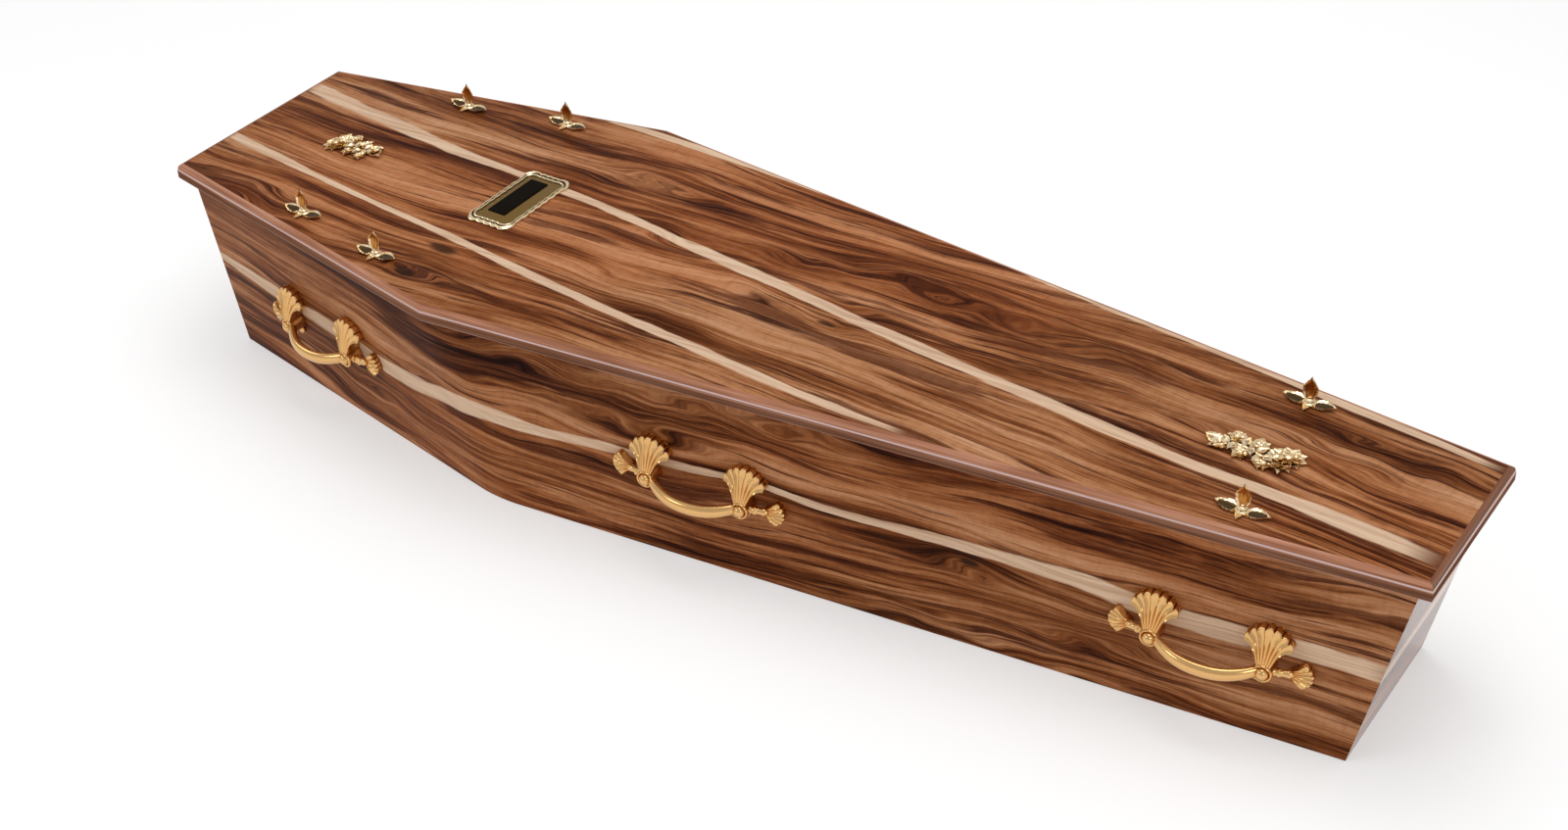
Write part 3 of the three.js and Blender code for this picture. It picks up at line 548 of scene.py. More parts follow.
FOIL_TONES = (
    (0.34, (0.170, 0.062, 0.030)),
    (0.5, (0.310, 0.135, 0.078)),
    (0.66, (0.420, 0.215, 0.140)),
)
# The lilac white that the painted highlight pales the foil toward.
FOIL_HIGHLIGHT = (0.65, 0.48, 0.47)
FOIL_LINES = (5.0, 5.0, 420.0)
FOIL_PATCH, FOIL_PATCH_FLAT = 6.0, 30.0
ROUNDING_DROP = 0.0080
WHITE = (1.0, 1.0, 1.0)


def moulding(name, lift=1.0, painted_low_shade=1.0, gloss=0.06, rough=0.35, coat=0.0, highlight_veil=0.0):
    """The lid's edge: a plainer reddish foil with faint lines. lift brightens it, painted_low_shade
    multiplies its tone at the bottom as painted shade, and veil is how far it is paled
    toward lilac as a painted highlight."""
    g = Graph(name)
    place = g.split(g.place())
    x, y, z = place
    line = g.combine(*[g.times(axis, scale) for axis, scale in zip(place, FOIL_LINES)])
    lines = g.noise(line, 1.0, 3.0)
    patch = g.noise(g.combine(x, y, g.times(z, FOIL_PATCH_FLAT)), FOIL_PATCH, 4.0)
    value = g.plus(g.times(lines, 0.5), g.times(patch, 0.5))
    tones = [(at, tuple(c * lift for c in tone)) for at, tone in FOIL_TONES]
    # Painted shade: the tone is multiplied by painted_low_shade at the bottom of the edge, rising
    # to full where the rounding starts.
    climb = g.step(z, BOX_HEIGHT, LID_TOP - ROUNDING_DROP)
    shade = g.mix(climb, (painted_low_shade, painted_low_shade, painted_low_shade), WHITE)
    # Painted highlight: veil pales the foil toward the lilac white.
    foil = g.mix(highlight_veil, g.ramp(value, tones), FOIL_HIGHLIGHT)
    color = g.mix(1.0, foil, shade, "MULTIPLY")
    sheen = {"Coat_Weight": coat, "Coat_Roughness": 0.12}
    return g.finish(color, Roughness=rough, Specular_IOR_Level=gloss, **sheen)


# Reach, samples and edges of the ambient occlusion that paints shade into the hollows.
HOLLOW_REACH, HOLLOW_SAMPLES = 0.008, 6
HOLLOW_EDGE = (0.25, 0.95)
CLOUD_SCALE, CLOUD_SHARE = 90.0, 0.25
HOLE_SCALE, HOLE_EDGE = 170.0, (0.44, 0.50)
HOLE_COLOR = (0.15, 0.070, 0.025)
ROUGH_DROP, ROUGH_SHARE = 0.04, 0.08
CAST_SCALE = 260.0


def gold(name, color, deep, rough, shade_and_mottle, pierced=0.0):
    """Electroplated casting: bright on the crests and deeper in the hollows by painted shade
    from an ambient occlusion node, with a random mottle; grime is how strongly both show.
    pierced is how strongly small dark holes show in it."""
    g = Graph(name)
    place = g.place()
    # Painted shade: ambient occlusion darkens the plating toward the deep colour in hollows and
    # creases.
    hollow = g.tree.nodes.new("ShaderNodeAmbientOcclusion")
    hollow.inputs["Distance"].default_value = HOLLOW_REACH
    hollow.samples = HOLLOW_SAMPLES
    cloud = g.noise(place, CLOUD_SCALE, 3.0)
    shade = g.step(hollow.outputs["AO"], *HOLLOW_EDGE)
    shade = g.plus(shade, g.sway(cloud, CLOUD_SHARE), clamp=True)
    plating = g.mix(g.times(g.minus(1.0, shade), shade_and_mottle), color, deep)
    if pierced:
        hole = g.step(g.noise(place, HOLE_SCALE, 1.0), *HOLE_EDGE)
        plating = g.mix(g.times(hole, pierced), plating, HOLE_COLOR)
    g.link(g.plus(rough - ROUGH_DROP, g.times(cloud, ROUGH_SHARE)), g.shader.inputs["Roughness"])
    g.bump(g.noise(place, CAST_SCALE, 2.0), 0.12, 0.0003)
    return g.finish(plating, Metallic=1.0)


PANEL_TONES = [(0.3, (0.0030, 0.0020, 0.0008)), (0.7, (0.0065, 0.0045, 0.0020))]


def black(name):
    g = Graph(name)
    cloud = g.noise(g.place(), 60.0, 4.0)
    color = g.ramp(cloud, PANEL_TONES)
    g.link(g.plus(0.40, g.times(cloud, 0.15)), g.shader.inputs["Roughness"])
    return g.finish(color, Specular_IOR_Level=0.02)


# The streaks' lines in (x, y) on the lid, (x, z) on the sides and (y, z) on the ends, with
# their half widths.
LID_STREAKS = [
    (
        [
            (-0.975, 0.112), (-0.807, 0.091), (-0.622, 0.070), (-0.468, 0.062),
            (-0.337, 0.052), (-0.175, 0.030), (-0.004, 0.010), (0.175, -0.016),
            (0.408, -0.041), (0.630, -0.064), (0.785, -0.072), (0.975, -0.088),
        ],
        (0.012, 0.0095, 0.008, 0.0095, 0.010),
    ),
    (
        [
            (-0.975, -0.066), (-0.823, -0.087), (-0.657, -0.107), (-0.503, -0.122),
            (-0.301, -0.148), (-0.041, -0.172), (0.142, -0.188), (0.321, -0.194),
        ],
        (0.0075, 0.006, 0.0075, 0.006),
    ),
    (
        [
            (-0.50, 0.266), (-0.241, 0.259), (0.009, 0.243),
            (0.351, 0.196), (0.653, 0.158), (0.975, 0.113),
        ],
        (0.006, 0.0070, 0.0042),
    ),
]
SIDE_STREAKS = [
    (
        [
            (-0.97, 0.158), (-0.80, 0.149), (-0.654, 0.145), (-0.534, 0.135), (-0.373, 0.151),
            (-0.225, 0.148), (-0.137, 0.153), (-0.02, 0.157), (0.10, 0.165), (0.20, 0.158),
            (0.30, 0.160), (0.36, 0.162), (0.43, 0.163), (0.50, 0.163), (0.57, 0.161),
            (0.62, 0.153), (0.754, 0.149), (0.82, 0.154), (0.965, 0.152),
        ],
        (0.0055, 0.0120, 0.0085, 0.0055, 0.0110, 0.0150),
    ),
]
END_STREAKS = [([(-0.17, 0.150), (0.0, 0.144), (0.17, 0.152)], (0.010, 0.010))]
LID_KNOTS = [
    (0.385, 0.100, 0.115, 0.034), (-0.020, 0.070, 0.075, 0.026),
    (0.098, -0.036, 0.055, 0.020), (-0.275, 0.148, 0.110, 0.034),
    (0.180, 0.100, 0.140, 0.040), (-0.468, -0.215, 0.055, 0.024),
]
LID_EYES = [
    (-0.470, -0.156, 0.030, 0.009), (-0.476, -0.228, 0.022, 0.010),
    (0.100, -0.038, 0.018, 0.006),
]
SIDE_KNOTS = [
    (-0.10, 0.215, 0.10, 0.03), (0.395, 0.128, 0.060, 0.026),
    (0.62, 0.075, 0.12, 0.03), (-0.62, 0.06, 0.10, 0.03),
]
SIDE_EYES = [(0.405, 0.138, 0.016, 0.009)]
END_KNOTS = [(0.03, 0.07, 0.05, 0.025)]
lid_wood = veneer("veneer_lid", (0, 1), 1.3, LID_STREAKS, LID_KNOTS, LID_EYES, tone=0.06)
side_wood = veneer("veneer_side", (0, 2), 4.1, SIDE_STREAKS, SIDE_KNOTS, SIDE_EYES, tone=0.04)
end_wood = veneer("veneer_end", (1, 2), 7.7, END_STREAKS, END_KNOTS, rough=0.2, gloss=0.6)
inner_wood = veneer("veneer_inside", (0, 1), 9.2, rough=0.5)
# The flat face is painted darker toward its bottom, a painted shade.
edge_wood = moulding("lid_edge_foil", lift=0.95, painted_low_shade=0.40, gloss=0.0)
# The bead's foil is paled toward lilac white, a painted highlight.
bead_highlight_wood = moulding("lid_edge_bead_highlight", gloss=0.5, rough=0.25, coat=1.0, highlight_veil=0.75)
# Brighter copy of the rounding for the long sides: painted light.
lit_round_wood = moulding("lid_edge_rounding_lit", lift=1.25, gloss=0.04, rough=0.4, coat=0.03)
arris_wood = moulding("lid_edge_arris", lift=0.9, gloss=0.2)
# Darker copy of the rounding for the two ends: painted shade.
shaded_end_round_wood = moulding("lid_edge_rounding_end_shaded", lift=0.72, gloss=0.04, rough=0.4, coat=0.03)
gold_bright = gold("gold_handle", (0.74, 0.44, 0.175), (0.46, 0.16, 0.018), 0.21, 0.80)
gold_pale = gold("gold_pale", (0.98, 0.78, 0.49), (0.42, 0.22, 0.06), 0.24, 0.8)
gold_field = gold("gold_field", (0.25, 0.145, 0.035), (0.12, 0.06, 0.01), 0.28, 0.6)
gold_mid = gold("gold_mid", (0.97, 0.78, 0.51), (0.50, 0.29, 0.12), 0.28, 0.60, pierced=0.65)
# A darker orange gold for the thumb tabs' faces: painted shade.
gold_tab_shade = gold("gold_tab_shade", (0.52, 0.22, 0.05), (0.22, 0.07, 0.012), 0.26, 0.7)
# Near black gold for the wings' hollows: painted shade.
gold_hollow_shade = gold("gold_hollow_shade", (0.085, 0.050, 0.020), (0.03, 0.015, 0.005), 0.35, 0.6)
# Near black gold for the nameplate's groove: painted shade.
gold_groove_shade = gold("gold_groove_shade", (0.10, 0.06, 0.03), (0.04, 0.02, 0.01), 0.4, 0.6)
panel_black = black("panel_black")


# Boards
SIDE_SOFT, END_SOFT = 0.0012, 0.0008
SIDE_BEND_STEPS, BASE_BEND_STEPS = 20, 12


def board_section(soft):
    """(height, depth into the board) round an upright board with softened long edges."""
    top = BOX_HEIGHT - FIT_GAP
    return [
        (0, soft), (soft, 0), (top - soft, 0), (top, soft),
        (top, BOARD_THICK - soft), (top - soft, BOARD_THICK),
        (soft, BOARD_THICK), (0, BOARD_THICK - soft),
    ]


def side_board(side):
    """One side board, bent round the shoulder. Its two ends have the second material."""
    spots = board_section(SIDE_SOFT)
    lines = [side_line(box_corners(z, depth), SIDE_BEND_STEPS) for z, depth in spots]
    rings = []
    for k in range(len(lines[0])):
        ring = [(line[k].x, line[k].y * side, z) for line, (z, _) in zip(lines, spots)]
        rings.append(ring if side < 0 else ring[::-1])
    form = loft(rings)
    form.slots[-2:] = [1, 1]
    return form


def end_board(end):
    rings = []
    for sign in (-1, 1):
        ring = []
        for z, depth in board_section(END_SOFT):
            p = box_corners(z, BOARD_THICK + FIT_GAP, depth)[end]
            ring.append((p.x, p.y * -sign, z))
        rings.append(ring)
    if end == "head":
        rings.reverse()
    return loft(rings)


def base_board():
    clear = BOARD_THICK + FIT_GAP
    rings = []
    for z in (0.0, BOARD_THICK):
        rings.append(round_plan(side_line(box_corners(z, clear, clear), BASE_BEND_STEPS), z))
    return loft(rings)


# The lid's edge as (inset, height), up to where its rounding starts.
EDGE_PROFILE = [
    (0.0015, 0.0), (0.0002, 0.0009), (0.0, 0.0022), (0.0, LID_THICK - 0.0100),
    (0.0004, LID_THICK - 0.0092), (0.0010, LID_THICK - ROUNDING_DROP),
]
ROUNDING_INSET, ROUNDING_RADIUS, ROUNDING_STEPS = 0.0011, 0.0076, 8
LID_END_SIDES = (2, 5)
TOP, EDGE, UNDER, ARRIS, ROUND, BEAD, END_ROUND = range(7)
LID_MATERIALS = [lid_wood, edge_wood, inner_wood, arris_wood, lit_round_wood, bead_highlight_wood, shaded_end_round_wood]


def lid_board():
    """The lid with its edge: an arris below, a flat face, a bead and a rounding."""
    profile = list(EDGE_PROFILE)
    for k in range(ROUNDING_STEPS + 1):
        a = k / ROUNDING_STEPS * math.pi / 2
        inset = ROUNDING_INSET + ROUNDING_RADIUS * (1 - math.cos(a))
        profile.append((inset, LID_THICK - ROUNDING_RADIUS * (1 - math.sin(a))))
    rings = []
    for inset, z in profile:
        c = plan_corners(inset, inset, inset, inset)
        rings.append(round_plan([c["head"], c["shoulder"], c["foot"]], BOX_HEIGHT + z))
    form = loft(rings)
    sides = len(rings[0])
    bands = [ARRIS, ARRIS, EDGE, BEAD, BEAD] + [ROUND] * (len(profile) - len(EDGE_PROFILE))
    for band, slot in enumerate(bands):
        form.band(band, sides, slot)
        # The roundings on the two ends take the darker copy, a painted shade.
        if slot == ROUND:
            for k in LID_END_SIDES:
                form.slots[band * sides + k] = END_ROUND
    form.slots[-2:] = [UNDER, TOP]
    return form


for side, name in ((1, "side_near"), (-1, "side_far")):
    board = make(name + "_veneered", side_board(side), [side_wood, end_wood], sharp=40)
    dress(board, "veneer", name)
for end in ("head", "foot"):
    dress(make(end + "_board_veneered", end_board(end), [end_wood]), "veneer", end + "_board")
dress(make("base_board_veneered", base_board(), [inner_wood]), "veneer", "base_board")
dress(make("lid_veneered", lid_board(), LID_MATERIALS, sharp=28), "veneer", "lid")


# Handles, in millimetres in the panel's frame: X along, Y up, Z out
HANDLE_SPACING = 144
UNDERSIDE = 0.4  # castings start this far off the wood

PER_RIB = 10
SHELL_ROWS, SHELL_TURNED_ROWS = 20, 6
RIDGE_SHARPNESS, RIDGE_LEVEL = 2.6, 0.45
LOBE_ROUNDNESS = 2.2
SHELL_FLARE = 0.10
LIP_START, LIP_HEIGHT = 0.86, 1.2
SHELL_SKIN = 0.2
CROWN_FOOT, CROWN_SHARE = 0.6, 0.97
BIG_SHELL = dict(
    ribs=7, half_angle=0.62, foot=12, radius=62.0, rounding=0.21, foot_height=25.5,
    rim_height=11.5, hollow=-1.0, flute=2.5, scallop=2.4, crown=1.6, waist=0.22,
)
SMALL_SHELL = dict(
    ribs=6, half_angle=0.66, foot=4.5, radius=33, rounding=0.16, foot_height=9.5,
    rim_height=9.5, hollow=-2.5, flute=2.0, scallop=2.2, crown=1.2, waist=0.0,
)
BIG_SHELL_DROP, SMALL_SHELL_OUT = 2, 25.5

BOW_INSET, BOW_STEPS, BOW_SIDES = 4, 44, 20
BOW_START, BOW_REACH, BOW_DROP = 18, 26, 7
BOW_FULLNESS = 2.3
BOW_TAPER = 0.16
BOW_HALF_WIDE, BOW_HALF_DEEP = 9.6, 7.0

# Turned parts as (radius, height) points.
BOSS_COLLAR = [
    (12.6, UNDERSIDE), (12.8, 18), (13.1, 23.6), (12.7, 25.8),
    (11.6, 26.8), (10.2, 26.4), (9.1, 25.0), (8.7, 24.4),
]
BOSS_DOME_RADIUS, BOSS_DOME_FOOT, BOSS_DOME_HEIGHT, BOSS_DOME_STEPS = 8.6, 24.4, 8.0, 9
BOSS_TIP = (0.4, 32.4)
LUG = [
    (5.4, UNDERSIDE), (6.6, 1.6), (6.8, 4.4), (5.6, 6.0), (4.0, 6.2), (2.6, 5.2), (0.4, 5.0),
]
LUG_DROP = 16
ARM = [
    (7.4, 0), (7.0, 10), (5.4, 13), (5.2, 15), (6.3, 17), (6.6, 18.5),
    (6.0, 20), (5.0, 22), (5.2, 27), (6.2, 31), (3.0, 36),
]
ARM_HEIGHT = 17
ARM_LEAN = math.atan2(-8.0, 36.0)
BOSS_SIDES, TURNED_SIDES = 36, 24


def shell(
    ribs, half_angle, foot, radius, rounding, foot_height,
    rim_height, hollow, flute, scallop, crown, waist,
):
    """A scallop shell that opens along +X: narrow ridges between hollow flutes, a lobe at the
    end of each flute, and a crown that turns back to the panel."""
    columns = ribs * PER_RIB
    flat = SHELL_ROWS - SHELL_TURNED_ROWS

    def front(i, j):
        across = 2 * i / columns - 1
        spot = 2 * (i % PER_RIB) / PER_RIB - 1 if i < columns else -1.0
        ridge = abs(spot) ** RIDGE_SHARPNESS
        lobe = math.sqrt(max(0.0, 1 - abs(spot) ** LOBE_ROUNDNESS))
        t = min(1.0, j / flat)
        belly = math.sin(math.pi * t)
        flare = 1 + SHELL_FLARE * abs(across) ** 3 * t * t
        angle = half_angle * across * (1 - waist * belly) * flare
        r = foot + (radius - foot) * t
        r = r * (1 - rounding * across ** 2 * t) + scallop * (lobe - 1) * t
        z = foot_height + (rim_height - foot_height) * t - hollow * belly
        lip = LIP_HEIGHT * max(0.0, t - LIP_START) / (1 - LIP_START)
        z += flute * (ridge - RIDGE_LEVEL) * min(1.0, 0.2 + 1.5 * t) + lip
        over = max(0, j - flat) / SHELL_TURNED_ROWS
        if over > 0:
            drop = 1 - math.cos(over * math.pi / 2)
            r += crown * math.sin(over * math.pi) * lobe
            z += (CROWN_FOOT - z) * drop * CROWN_SHARE
        return (r * math.cos(angle), r * math.sin(angle), z)

    def back(i, j):
        x, y, z = front(i, j)
        return (x, y, min(z - SHELL_SKIN, UNDERSIDE))

    return relief(columns, SHELL_ROWS, front, back)


def handle_bow():
    """The grip: it leaves both bosses straight out and sags a little in its middle."""
    half = HANDLE_SPACING / 2 - BOW_INSET
    rings = []
    for k in range(BOW_STEPS + 1):
        u = half * math.sin(math.pi * (k / BOW_STEPS - 0.5))
        share = abs(u / half)
        reach = share ** BOW_FULLNESS
        steep = BOW_REACH * BOW_FULLNESS * share ** (BOW_FULLNESS - 1) / half
        out = Vector((steep * math.copysign(1, u), 0, 1)).normalized()
        middle = Vector((u, -BOW_DROP * (1 - reach), BOW_START + BOW_REACH * (1 - reach)))
        grow = 1 - BOW_TAPER * share ** 3
        ring = []
        for c, s in circle(BOW_SIDES):
            wide = Vector((0, BOW_HALF_WIDE * grow * c, 0))
            ring.append(middle + wide + out * BOW_HALF_DEEP * grow * s)
        rings.append(ring[::-1])
    return loft(rings)


def handle_boss():
    dome = []
    for k in range(1, BOSS_DOME_STEPS):
        a = k / BOSS_DOME_STEPS * math.pi / 2
        height = BOSS_DOME_FOOT + BOSS_DOME_HEIGHT * math.sin(a)
        dome.append((BOSS_DOME_RADIUS * math.cos(a), height))
    return lathe(BOSS_COLLAR + dome + [BOSS_TIP], BOSS_SIDES)


def handle():
    """One casting: the bow, and at each end a shell, a boss, a lug, an arm and a small shell."""
    form = handle_bow()
    big, small = shell(**BIG_SHELL), shell(**SMALL_SHELL)
    boss, lug, arm = handle_boss(), lathe(LUG, TURNED_SIDES), lathe(ARM, TURNED_SIDES)
    for side in (-1, 1):
        x = side * HANDLE_SPACING / 2
        form.join(big, moved(x, -BIG_SHELL_DROP) @ turned_by(QUARTER))
        form.join(boss, moved(x, 0))
        form.join(lug, moved(x, -LUG_DROP))
        form.join(arm, moved(x, 0, ARM_HEIGHT) @ turned_by(side * (QUARTER - ARM_LEAN), "Y"))
        spin = turned_by(0 if side > 0 else math.pi)
        form.join(small, moved(x + side * SMALL_SHELL_OUT, 0) @ spin)
    return form.scaled(MM)


# Each handle's panel, its share along the panel, its height up it and its turn.
HANDLE_PLACES = [
    ("head", "shoulder", 0.416, 0.127, 0.045),
    ("shoulder", "foot", 0.277, 0.136, -0.045),
    ("shoulder", "foot", 0.855, 0.124, -0.02),
]
casting = handle()
for side, word in ((1, "near"), (-1, "far")):
    for k, place in enumerate(HANDLE_PLACES):
        name = f"handle_{word}_{k + 1}"
        form = Form().join(casting, panel_frame(*place, side))
        dress(make(name + "_cast", form, [gold_bright], sharp=50), "gold", name)


# Leaves, of the wreath holders and of the sprays, in millimetres
LEAF_SKIN = 0.35
LEAF_MIN_HALF = 0.5
LEAF_BLUNT, LEAF_BELLY = 0.06, 0.75
LEAF_NOTCHES = 5
VEIN_HEIGHT, VEIN_WIDTH = 0.5, 0.16
RIM_SHARPNESS = 2.6
INNER_HALF, INNER_START, INNER_FINISH = 0.62, 0.12, 0.86


def hollow_leaf(length, width, start, lift, rim, thick, columns, rows, notch=0.0, inner=0):
    """A hollow leaf along +X with a raised rim and a vein down the middle. inner is the
    material slot of its hollow."""

    def top(i, j):
        t, a = i / columns, 2 * j / rows - 1
        along = (LEAF_BLUNT + (1 - LEAF_BLUNT) * t) ** LEAF_BELLY
        half = max(LEAF_MIN_HALF, width / 2 * math.sin(math.pi * along))
        half *= 1 + notch * math.sin(t * math.pi * LEAF_NOTCHES) ** 2
        vein = VEIN_HEIGHT * math.exp(-((a / VEIN_WIDTH) ** 2)) * math.sin(math.pi * t)
        edge = rim * abs(a) ** RIM_SHARPNESS * min(1.0, 3 * (1 - t) + 0.35)
        return (start + length * t, half * a, thick + lift * t * t + edge + vein)

    def back(i, j):
        x, y, z = top(i, j)
        return (x, y, max(LEAF_SKIN, z - thick))

    form = relief(columns, rows, top, back)
    for j in range(rows):
        for i in range(columns):
            across, along = abs(2 * (j + 0.5) / rows - 1), (i + 0.5) / columns
            if across < INNER_HALF and INNER_START < along < INNER_FINISH:
                form.slots[2 * (j * columns + i)] = inner
    return form


# Wreath holders: a leaf plate and a thumb screw each, in millimetres
WING = dict(
    length=30, width=20, start=6, lift=4, rim=2.6, thick=1.2, columns=20, rows=12,
    notch=0.10, inner=1,
)
PETAL = dict(length=19, width=10, start=1, lift=0.5, rim=1.5, thick=1.8, columns=16, rows=10)
BUD = dict(length=10, width=6.5, start=5, lift=1.5, rim=1.2, thick=1.8, columns=8, rows=6)
BUD_SPREAD = 0.85
PLATE_HUB = [(9.2, 0.4), (9.4, 2.4), (8.4, 3.6), (7.2, 3.9), (6.6, 4.9), (3.0, 5.0)]
HUB_SIDES = 28

SEAT = 5.3
SCREW = [
    (2.4, -12), (2.4, SEAT), (5.8, SEAT), (6.2, SEAT + 1.2), (5.2, SEAT + 2.6),
    (3.4, SEAT + 3.4), (3.0, SEAT + 6.0), (1.0, SEAT + 7.0),
]
TAB_COLUMNS, TAB_ROWS, TAB_RIM_COLUMNS = 24, 16, 3
TAB_FOOT, TAB_HEIGHT, TAB_ROUNDING = 7.3, 34, 0.10
TAB_HALF, TAB_MIN_HALF, TAB_BLUNT, TAB_POINT = 10.3, 0.7, 0.2, 1.25
TAB_WAVE, TAB_WAVES = 0.05, 22
TAB_CUP, TAB_THICK = 3.4, 1.3
TAB_RIB, TAB_RIBS = 0.55, 3.5


def holder_plate():
    """Two leaves as wings, a petal with two buds beside it, and a round hub."""
    wing, petal, bud = hollow_leaf(**WING), hollow_leaf(**PETAL), hollow_leaf(**BUD)
    form = Form().join(wing)
    form.join(wing, turned_by(math.pi))
    form.join(petal, turned_by(-QUARTER))
    for side in (-1, 1):
        form.join(bud, turned_by(-QUARTER + side * BUD_SPREAD))
    form.join(lathe(PLATE_HUB, HUB_SIDES))
    return form.scaled(MM)


def thumb_screw():
    """A screw whose thumb tab is an upright cupped leaf, with a bright rim; the tab's faces
    are a darker orange gold, a painted shade.
    """

    def face(sign):
        def point(i, j):
            a, t = 2 * i / TAB_COLUMNS - 1, j / TAB_ROWS
            share = TAB_BLUNT + (1 - TAB_BLUNT) * t
            half = max(TAB_MIN_HALF, TAB_HALF * math.sin(math.pi * share ** TAB_POINT))
            half *= 1 + TAB_WAVE * math.cos(t * TAB_WAVES)
            belly = math.sin(math.pi * t)
            cup = TAB_CUP * belly * (1 - a * a)
            rib = TAB_RIB * math.cos(a * math.pi * TAB_RIBS) * belly
            thick = TAB_THICK * (1 - t / 2) + rib * (0.5 if sign > 0 else 0.0)
            height = TAB_FOOT + TAB_HEIGHT * t * (1 - TAB_ROUNDING * a * a)
            return (half * a, cup - sign * thick, height)
        return point

    # Painted shade: the tab's faces take the darker orange gold; the rim columns and top row stay
    # pale.
    tab = relief(TAB_COLUMNS, TAB_ROWS, face(1), face(-1), slot=1)
    for j in range(TAB_ROWS):
        for i in range(TAB_COLUMNS):
            if min(i, TAB_COLUMNS - 1 - i) < TAB_RIM_COLUMNS or j == TAB_ROWS - 1:
                spot = 2 * (j * TAB_COLUMNS + i)
                tab.slots[spot:spot + 2] = [0, 0]
    return lathe(SCREW, TURNED_SIDES).join(tab).scaled(MM)


def holder_spot(from_head, edge, side):
    """A spot on the lid, by its distance from the head end and from the long edge."""
    c = plan_corners(0, edge, edge, 0)
    x = HEAD_X + from_head
    a, b = (c["head"], c["shoulder"]) if x < c["shoulder"].x else (c["shoulder"], c["foot"])
    y = a.y + (b.y - a.y) * (x - a.x) / (b.x - a.x)
    return moved(x, y * side, LID_TOP)


# Each pair's distance from the head end, near and far, and from the edge.
HOLDER_PAIRS = ((0.270, 0.270, 0.043), (0.440, 0.440, 0.043), (1.719, 1.697, 0.040))
# The wings' hollows take the near black gold, a painted shade.
HOLDER_PARTS = (
    ("holder_plate", holder_plate(), [gold_pale, gold_hollow_shade]),
    ("thumb_screw", thumb_screw(), [gold_pale, gold_tab_shade]),
)
number = 0
for near, far, edge in HOLDER_PAIRS:
    for side, from_head in ((1, near), (-1, far)):
        number += 1
        spot = holder_spot(from_head, edge, side)
        for word, part, materials in HOLDER_PARTS:
            name = f"{word}_{number}"
            piece = make(name + "_cast", Form().join(part, spot), materials, sharp=50)
            dress(piece, "gold", name)


# Nameplate, in millimetres
PLATE_AT = (-0.460, 0.003, LID_TOP)
PLATE_STEPS = 220
PLATE_HALF_WIDE, PLATE_HALF_LONG = 37, 76
PLATE_SQUARENESS = 8
PLATE_PROFILE = [  # (inset, height): an outer roll, a groove, an inner roll, the field
    (0.0, 0.4), (0.0, 1.6), (0.7, 3.2), (1.7, 4.2), (2.6, 3.4), (3.0, 1.6), (3.8, 1.5),
    (4.2, 3.2), (5.0, 4.2), (5.9, 3.2), (6.4, 1.8), (6.9, 1.7), (7.4, 1.8),
]
END_BORDER_GROWTH = 0.9
LOBE_FADE = 14
EAR_REACH = 4.5
SIDE_LOBE, SIDE_LOBES = 2.2, 5
END_LOBE, END_LOBES = 2.4, 3
FIELD, GROOVE = 1, 2
GROOVE_BANDS, FIELD_BANDS = (4, 5, 6, 9), (10, 11)

NAME_PANEL_AT = (-0.466, 0.008, LID_TOP)
NAME_PANEL_HALF_WIDE, NAME_PANEL_HALF_LONG = 15.5, 50.0
NAME_PANEL_PROFILE = ((0, 2.2), (0, 2.8), (0.4, 3.2), (1.6, 3.2))


def nameplate():
    """A field with a raised border: two rolls with a groove between them. The border waves
    along its sides and ends and has an ear at each corner."""
    power = PLATE_SQUARENESS
    rings = []
    for inset, height in PLATE_PROFILE:
        ring = []
        for c, s in circle(PLATE_STEPS):
            reach = (abs(c) ** power + abs(s) ** power) ** (-1 / power)
            tx, ty = c * reach, s * reach
            on_side, on_end = abs(tx) ** power, abs(ty) ** power
            depth = inset * (1 + END_BORDER_GROWTH * on_end * (1 - on_side))
            fade = max(0.0, 1 - depth / LOBE_FADE)
            ear = EAR_REACH * abs(tx * ty) ** 3
            side = SIDE_LOBE * math.cos(SIDE_LOBES * math.pi * ty) * on_side + ear
            end = END_LOBE * math.cos(END_LOBES * math.pi * tx) * on_end + ear
            x = tx * (PLATE_HALF_WIDE - depth) + math.copysign(side * fade, c)
            y = ty * (PLATE_HALF_LONG - depth) + math.copysign(end * fade, s)
            ring.append((x, y, height))
        rings.append(ring)
    form = loft(rings)
    form.slots[-1] = FIELD
    for bands, slot in ((GROOVE_BANDS, GROOVE), (FIELD_BANDS, FIELD)):
        for band in bands:
            form.band(band, PLATE_STEPS, slot)
    return form.scaled(MM)


def name_panel():
    rings = []
    for shrink, z in NAME_PANEL_PROFILE:
        x, y = NAME_PANEL_HALF_WIDE - shrink, NAME_PANEL_HALF_LONG - shrink
        rings.append([(-x, -y, z), (x, -y, z), (x, y, z), (-x, y, z)])
    return loft(rings).scaled(MM)


form = Form().join(nameplate(), moved(*PLATE_AT))
# The groove between the two rolls takes the near black gold, a painted shade.
plate = make("nameplate_cast", form, [gold_pale, gold_field, gold_groove_shade], sharp=40)
dress(plate, "gold", "nameplate")
form = Form().join(name_panel(), moved(*NAME_PANEL_AT))
panel = make("nameplate_panel_lacquered", form, [panel_black], sharp=30)
dress(panel, "black_panel", "nameplate_panel")


# Flower sprays, in millimetres
SPRAY_SEED = 11
STEM_HALF, STEM_BEND, STEM_CLIMB, STEM_DROP = 46, 9, 26, 18
STEM_STEPS, STEM_SIDES, STEM_HALF_WIDE, STEM_HALF_HIGH = 24, 10, 2.6, 1.8

